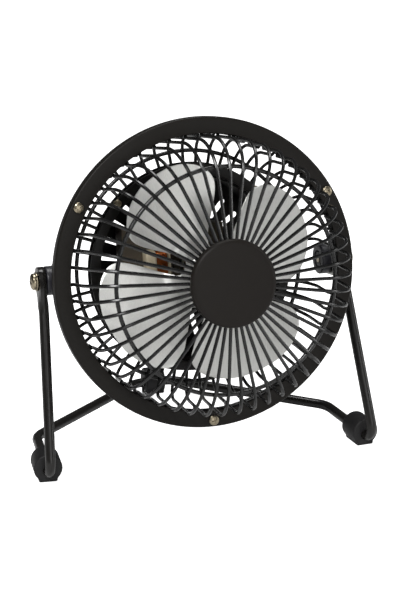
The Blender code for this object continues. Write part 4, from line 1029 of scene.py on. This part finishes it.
for k in range(slot_count):
    angle = 360 * (k + 0.5) / slot_count
    if min(angle, 360 - angle) < 22 or abs(angle - 270) < 13:
        continue
    slot = slab((slot_inner + slot_half, turn_y, -slot_half),
                (slot_outer - slot_half, cup_back + 0.002, slot_half))
    for end in (slot_inner + slot_half, slot_outer - slot_half):
        carve(slot, cylinder(slot_half, turn_y, cup_back + 0.002, centre=(end, 0), sides=16),
              "UNION")
    settle(slot, Matrix.Rotation(-radians(angle), 4, "Y"))
    carve(housing, slot)
smooth(35)
housing_paint = finish("housing_paint", (0.006, 0.0055, 0.005), (0.010, 0.009, 0.008), (0.36, 0.48),
                       grain=1300, bump=0.3, Specular_IOR_Level=0.25)
fit(housing, housing_paint, head_frame, "head", "motor_housing")

clamp_low, clamp_high = in_head("housing_clamp_ring")
clamp_ring = band("clamp_pressing", rear_inner + gap, clamp_high.x, clamp_low.y, clamp_high.y,
                  0.0004, 144)
for number in range(1, 5):
    low, high = in_head(f"clamp_screw_{number}")
    carve(clamp_ring, cylinder(0.0015, clamp_low.y - 0.001, clamp_high.y + 0.001,
                               centre=((low.x + high.x) / 2, (low.z + high.z) / 2), sides=20))
smooth(35)
fit(clamp_ring, housing_paint, head_frame, "head", "housing_clamp_ring")


# ---- The pivots. On each side, from the inside out: a moulded boss round the nut, a steel tab
# behind the ring, a moulded spacer, the stand's eye and a plated washer under the screw.
dark_plastic = finish("dark_plastic", (0.014, 0.014, 0.018), (0.022, 0.022, 0.028), (0.36, 0.46),
                      grain=2000, bump=0.2)


for side, word in ((-1, "left"), (1, "right")):
    outwards = head_frame @ Matrix.Rotation(-side * pi / 2, 4, "Z")
    for kind, radius, bevel, slot_name, material in (
            ("spacer", 0.0070, 0.0007, "dark_plastic", dark_plastic),
            ("washer", 0.0046, 0.0002, "nickel", nickel)):
        node = f"pivot_{kind}_{word}"
        low, high = in_head(node)
        start, end = sorted((abs(low.x), abs(high.x)))
        piece = band(f"{node}_turned", screw_hole, radius, start, end, bevel)
        fit(piece, material, outwards, "head", node)
    node = f"pivot_boss_{word}"
    low, high = in_head(node)
    start, end = sorted((abs(low.x), abs(high.x)))
    pocket, nut_room, boss_radius = 0.0038, 0.00434, 0.0075
    floor_y = start + pocket
    outline = [(screw_hole, floor_y), (nut_room, floor_y), (nut_room, start),
               (boss_radius, start), (boss_radius, end), (screw_hole, end)]
    boss = lathe(f"{node}_moulding", rounded(outline, 0.0005))
    fit(boss, dark_plastic, outwards, "head", node)
for node in ("pivot_bracket_left", "pivot_bracket_right", "grille_clip_1", "grille_clip_2",
             "grille_clip_3"):
    wear(frame["nodes"][node], zinc_steel)
for node in ("pivot_nut_left", "pivot_nut_right"):
    wear(frame["nodes"][node], housing_paint)


# ---- The switch and the gland. A small rocker switch in the housing's back, with a bezel and a
# rocker that tips between two places, and a ribbed rubber gland where the cord would leave.
switch_plastic = finish("switch_plastic", (0.011, 0.011, 0.011), (0.017, 0.017, 0.017),
                        (0.24, 0.34), grain=2400, bump=0.15)
body_low, body_high = in_head("switch_body")
room, reach = 0.0031, 0.0063
bezel_back = body_high.y
bezel = slab((body_low.x, bezel_back - 0.0014, body_low.z), (body_high.x, bezel_back, body_high.z))
bezel.name = "switch_moulding"
bevelled(bezel, 0.0005)
carve(bezel, slab((switch_x - switch_wide, body_low.y, -switch_tall),
                  (switch_x + switch_wide, bezel_back - 0.0007, switch_tall)), "UNION")
carve(bezel, slab((switch_x - room, cup_back - reach, -reach),
                  (switch_x + room, bezel_back + 0.004, reach)))
smooth(35)
fit(bezel, switch_plastic, head_frame, "head", "switch_body")

rocker_arc, rocker_half = 0.0054, 0.0028
swing = radians(8)
outline = [(rocker_arc * cos(radians(a)), rocker_arc * sin(radians(a))) for a in range(100, 261, 8)]
outline += [(0.0016, -rocker_arc - 0.0001), (0.0024, -0.0030), (0.0031, 0), (0.0024, 0.0030),
            (0.0016, rocker_arc + 0.0001)]
rocker = extruded("rocker_moulding", [(-rocker_half, y, z) for y, z in outline],
                  (2 * rocker_half, 0, 0))
bevelled(rocker, 0.0003, 3, 40)
place = head_frame @ at(switch_x, cup_back, 0) @ Matrix.Rotation(swing, 4, "X")
fit(rocker, switch_plastic, place, "rocker", "switch_rocker")

gland_low, gland_high = in_head("cord_gland")
gland_start, gland_end = gland_low.y, gland_high.y
wall_in, wall_out = cup_back - cup_wall - 0.0003, cup_back + 0.0003
outline = [(0.0025, gland_start), (0.0046, gland_start + 0.0002), (0.0046, wall_in),
           (0.0036, wall_in), (0.0036, wall_out), (0.0054, wall_out), (0.0053, wall_out + 0.0008),
           (0.0046, wall_out + 0.0012),
           (0.0050, wall_out + 0.0016), (0.0044, wall_out + 0.0020), (0.0042, wall_out + 0.0024),
           (0.0045, wall_out + 0.0028), (0.0038, wall_out + 0.0032), (0.0035, gland_end - 0.0003),
           (0.0031, gland_end), (0.0025, gland_end)]
gland = lathe("gland_moulding", outline, sides=48)
fit(gland, rubber, head_frame @ at(0, 0, gland_z), "head", "cord_gland")
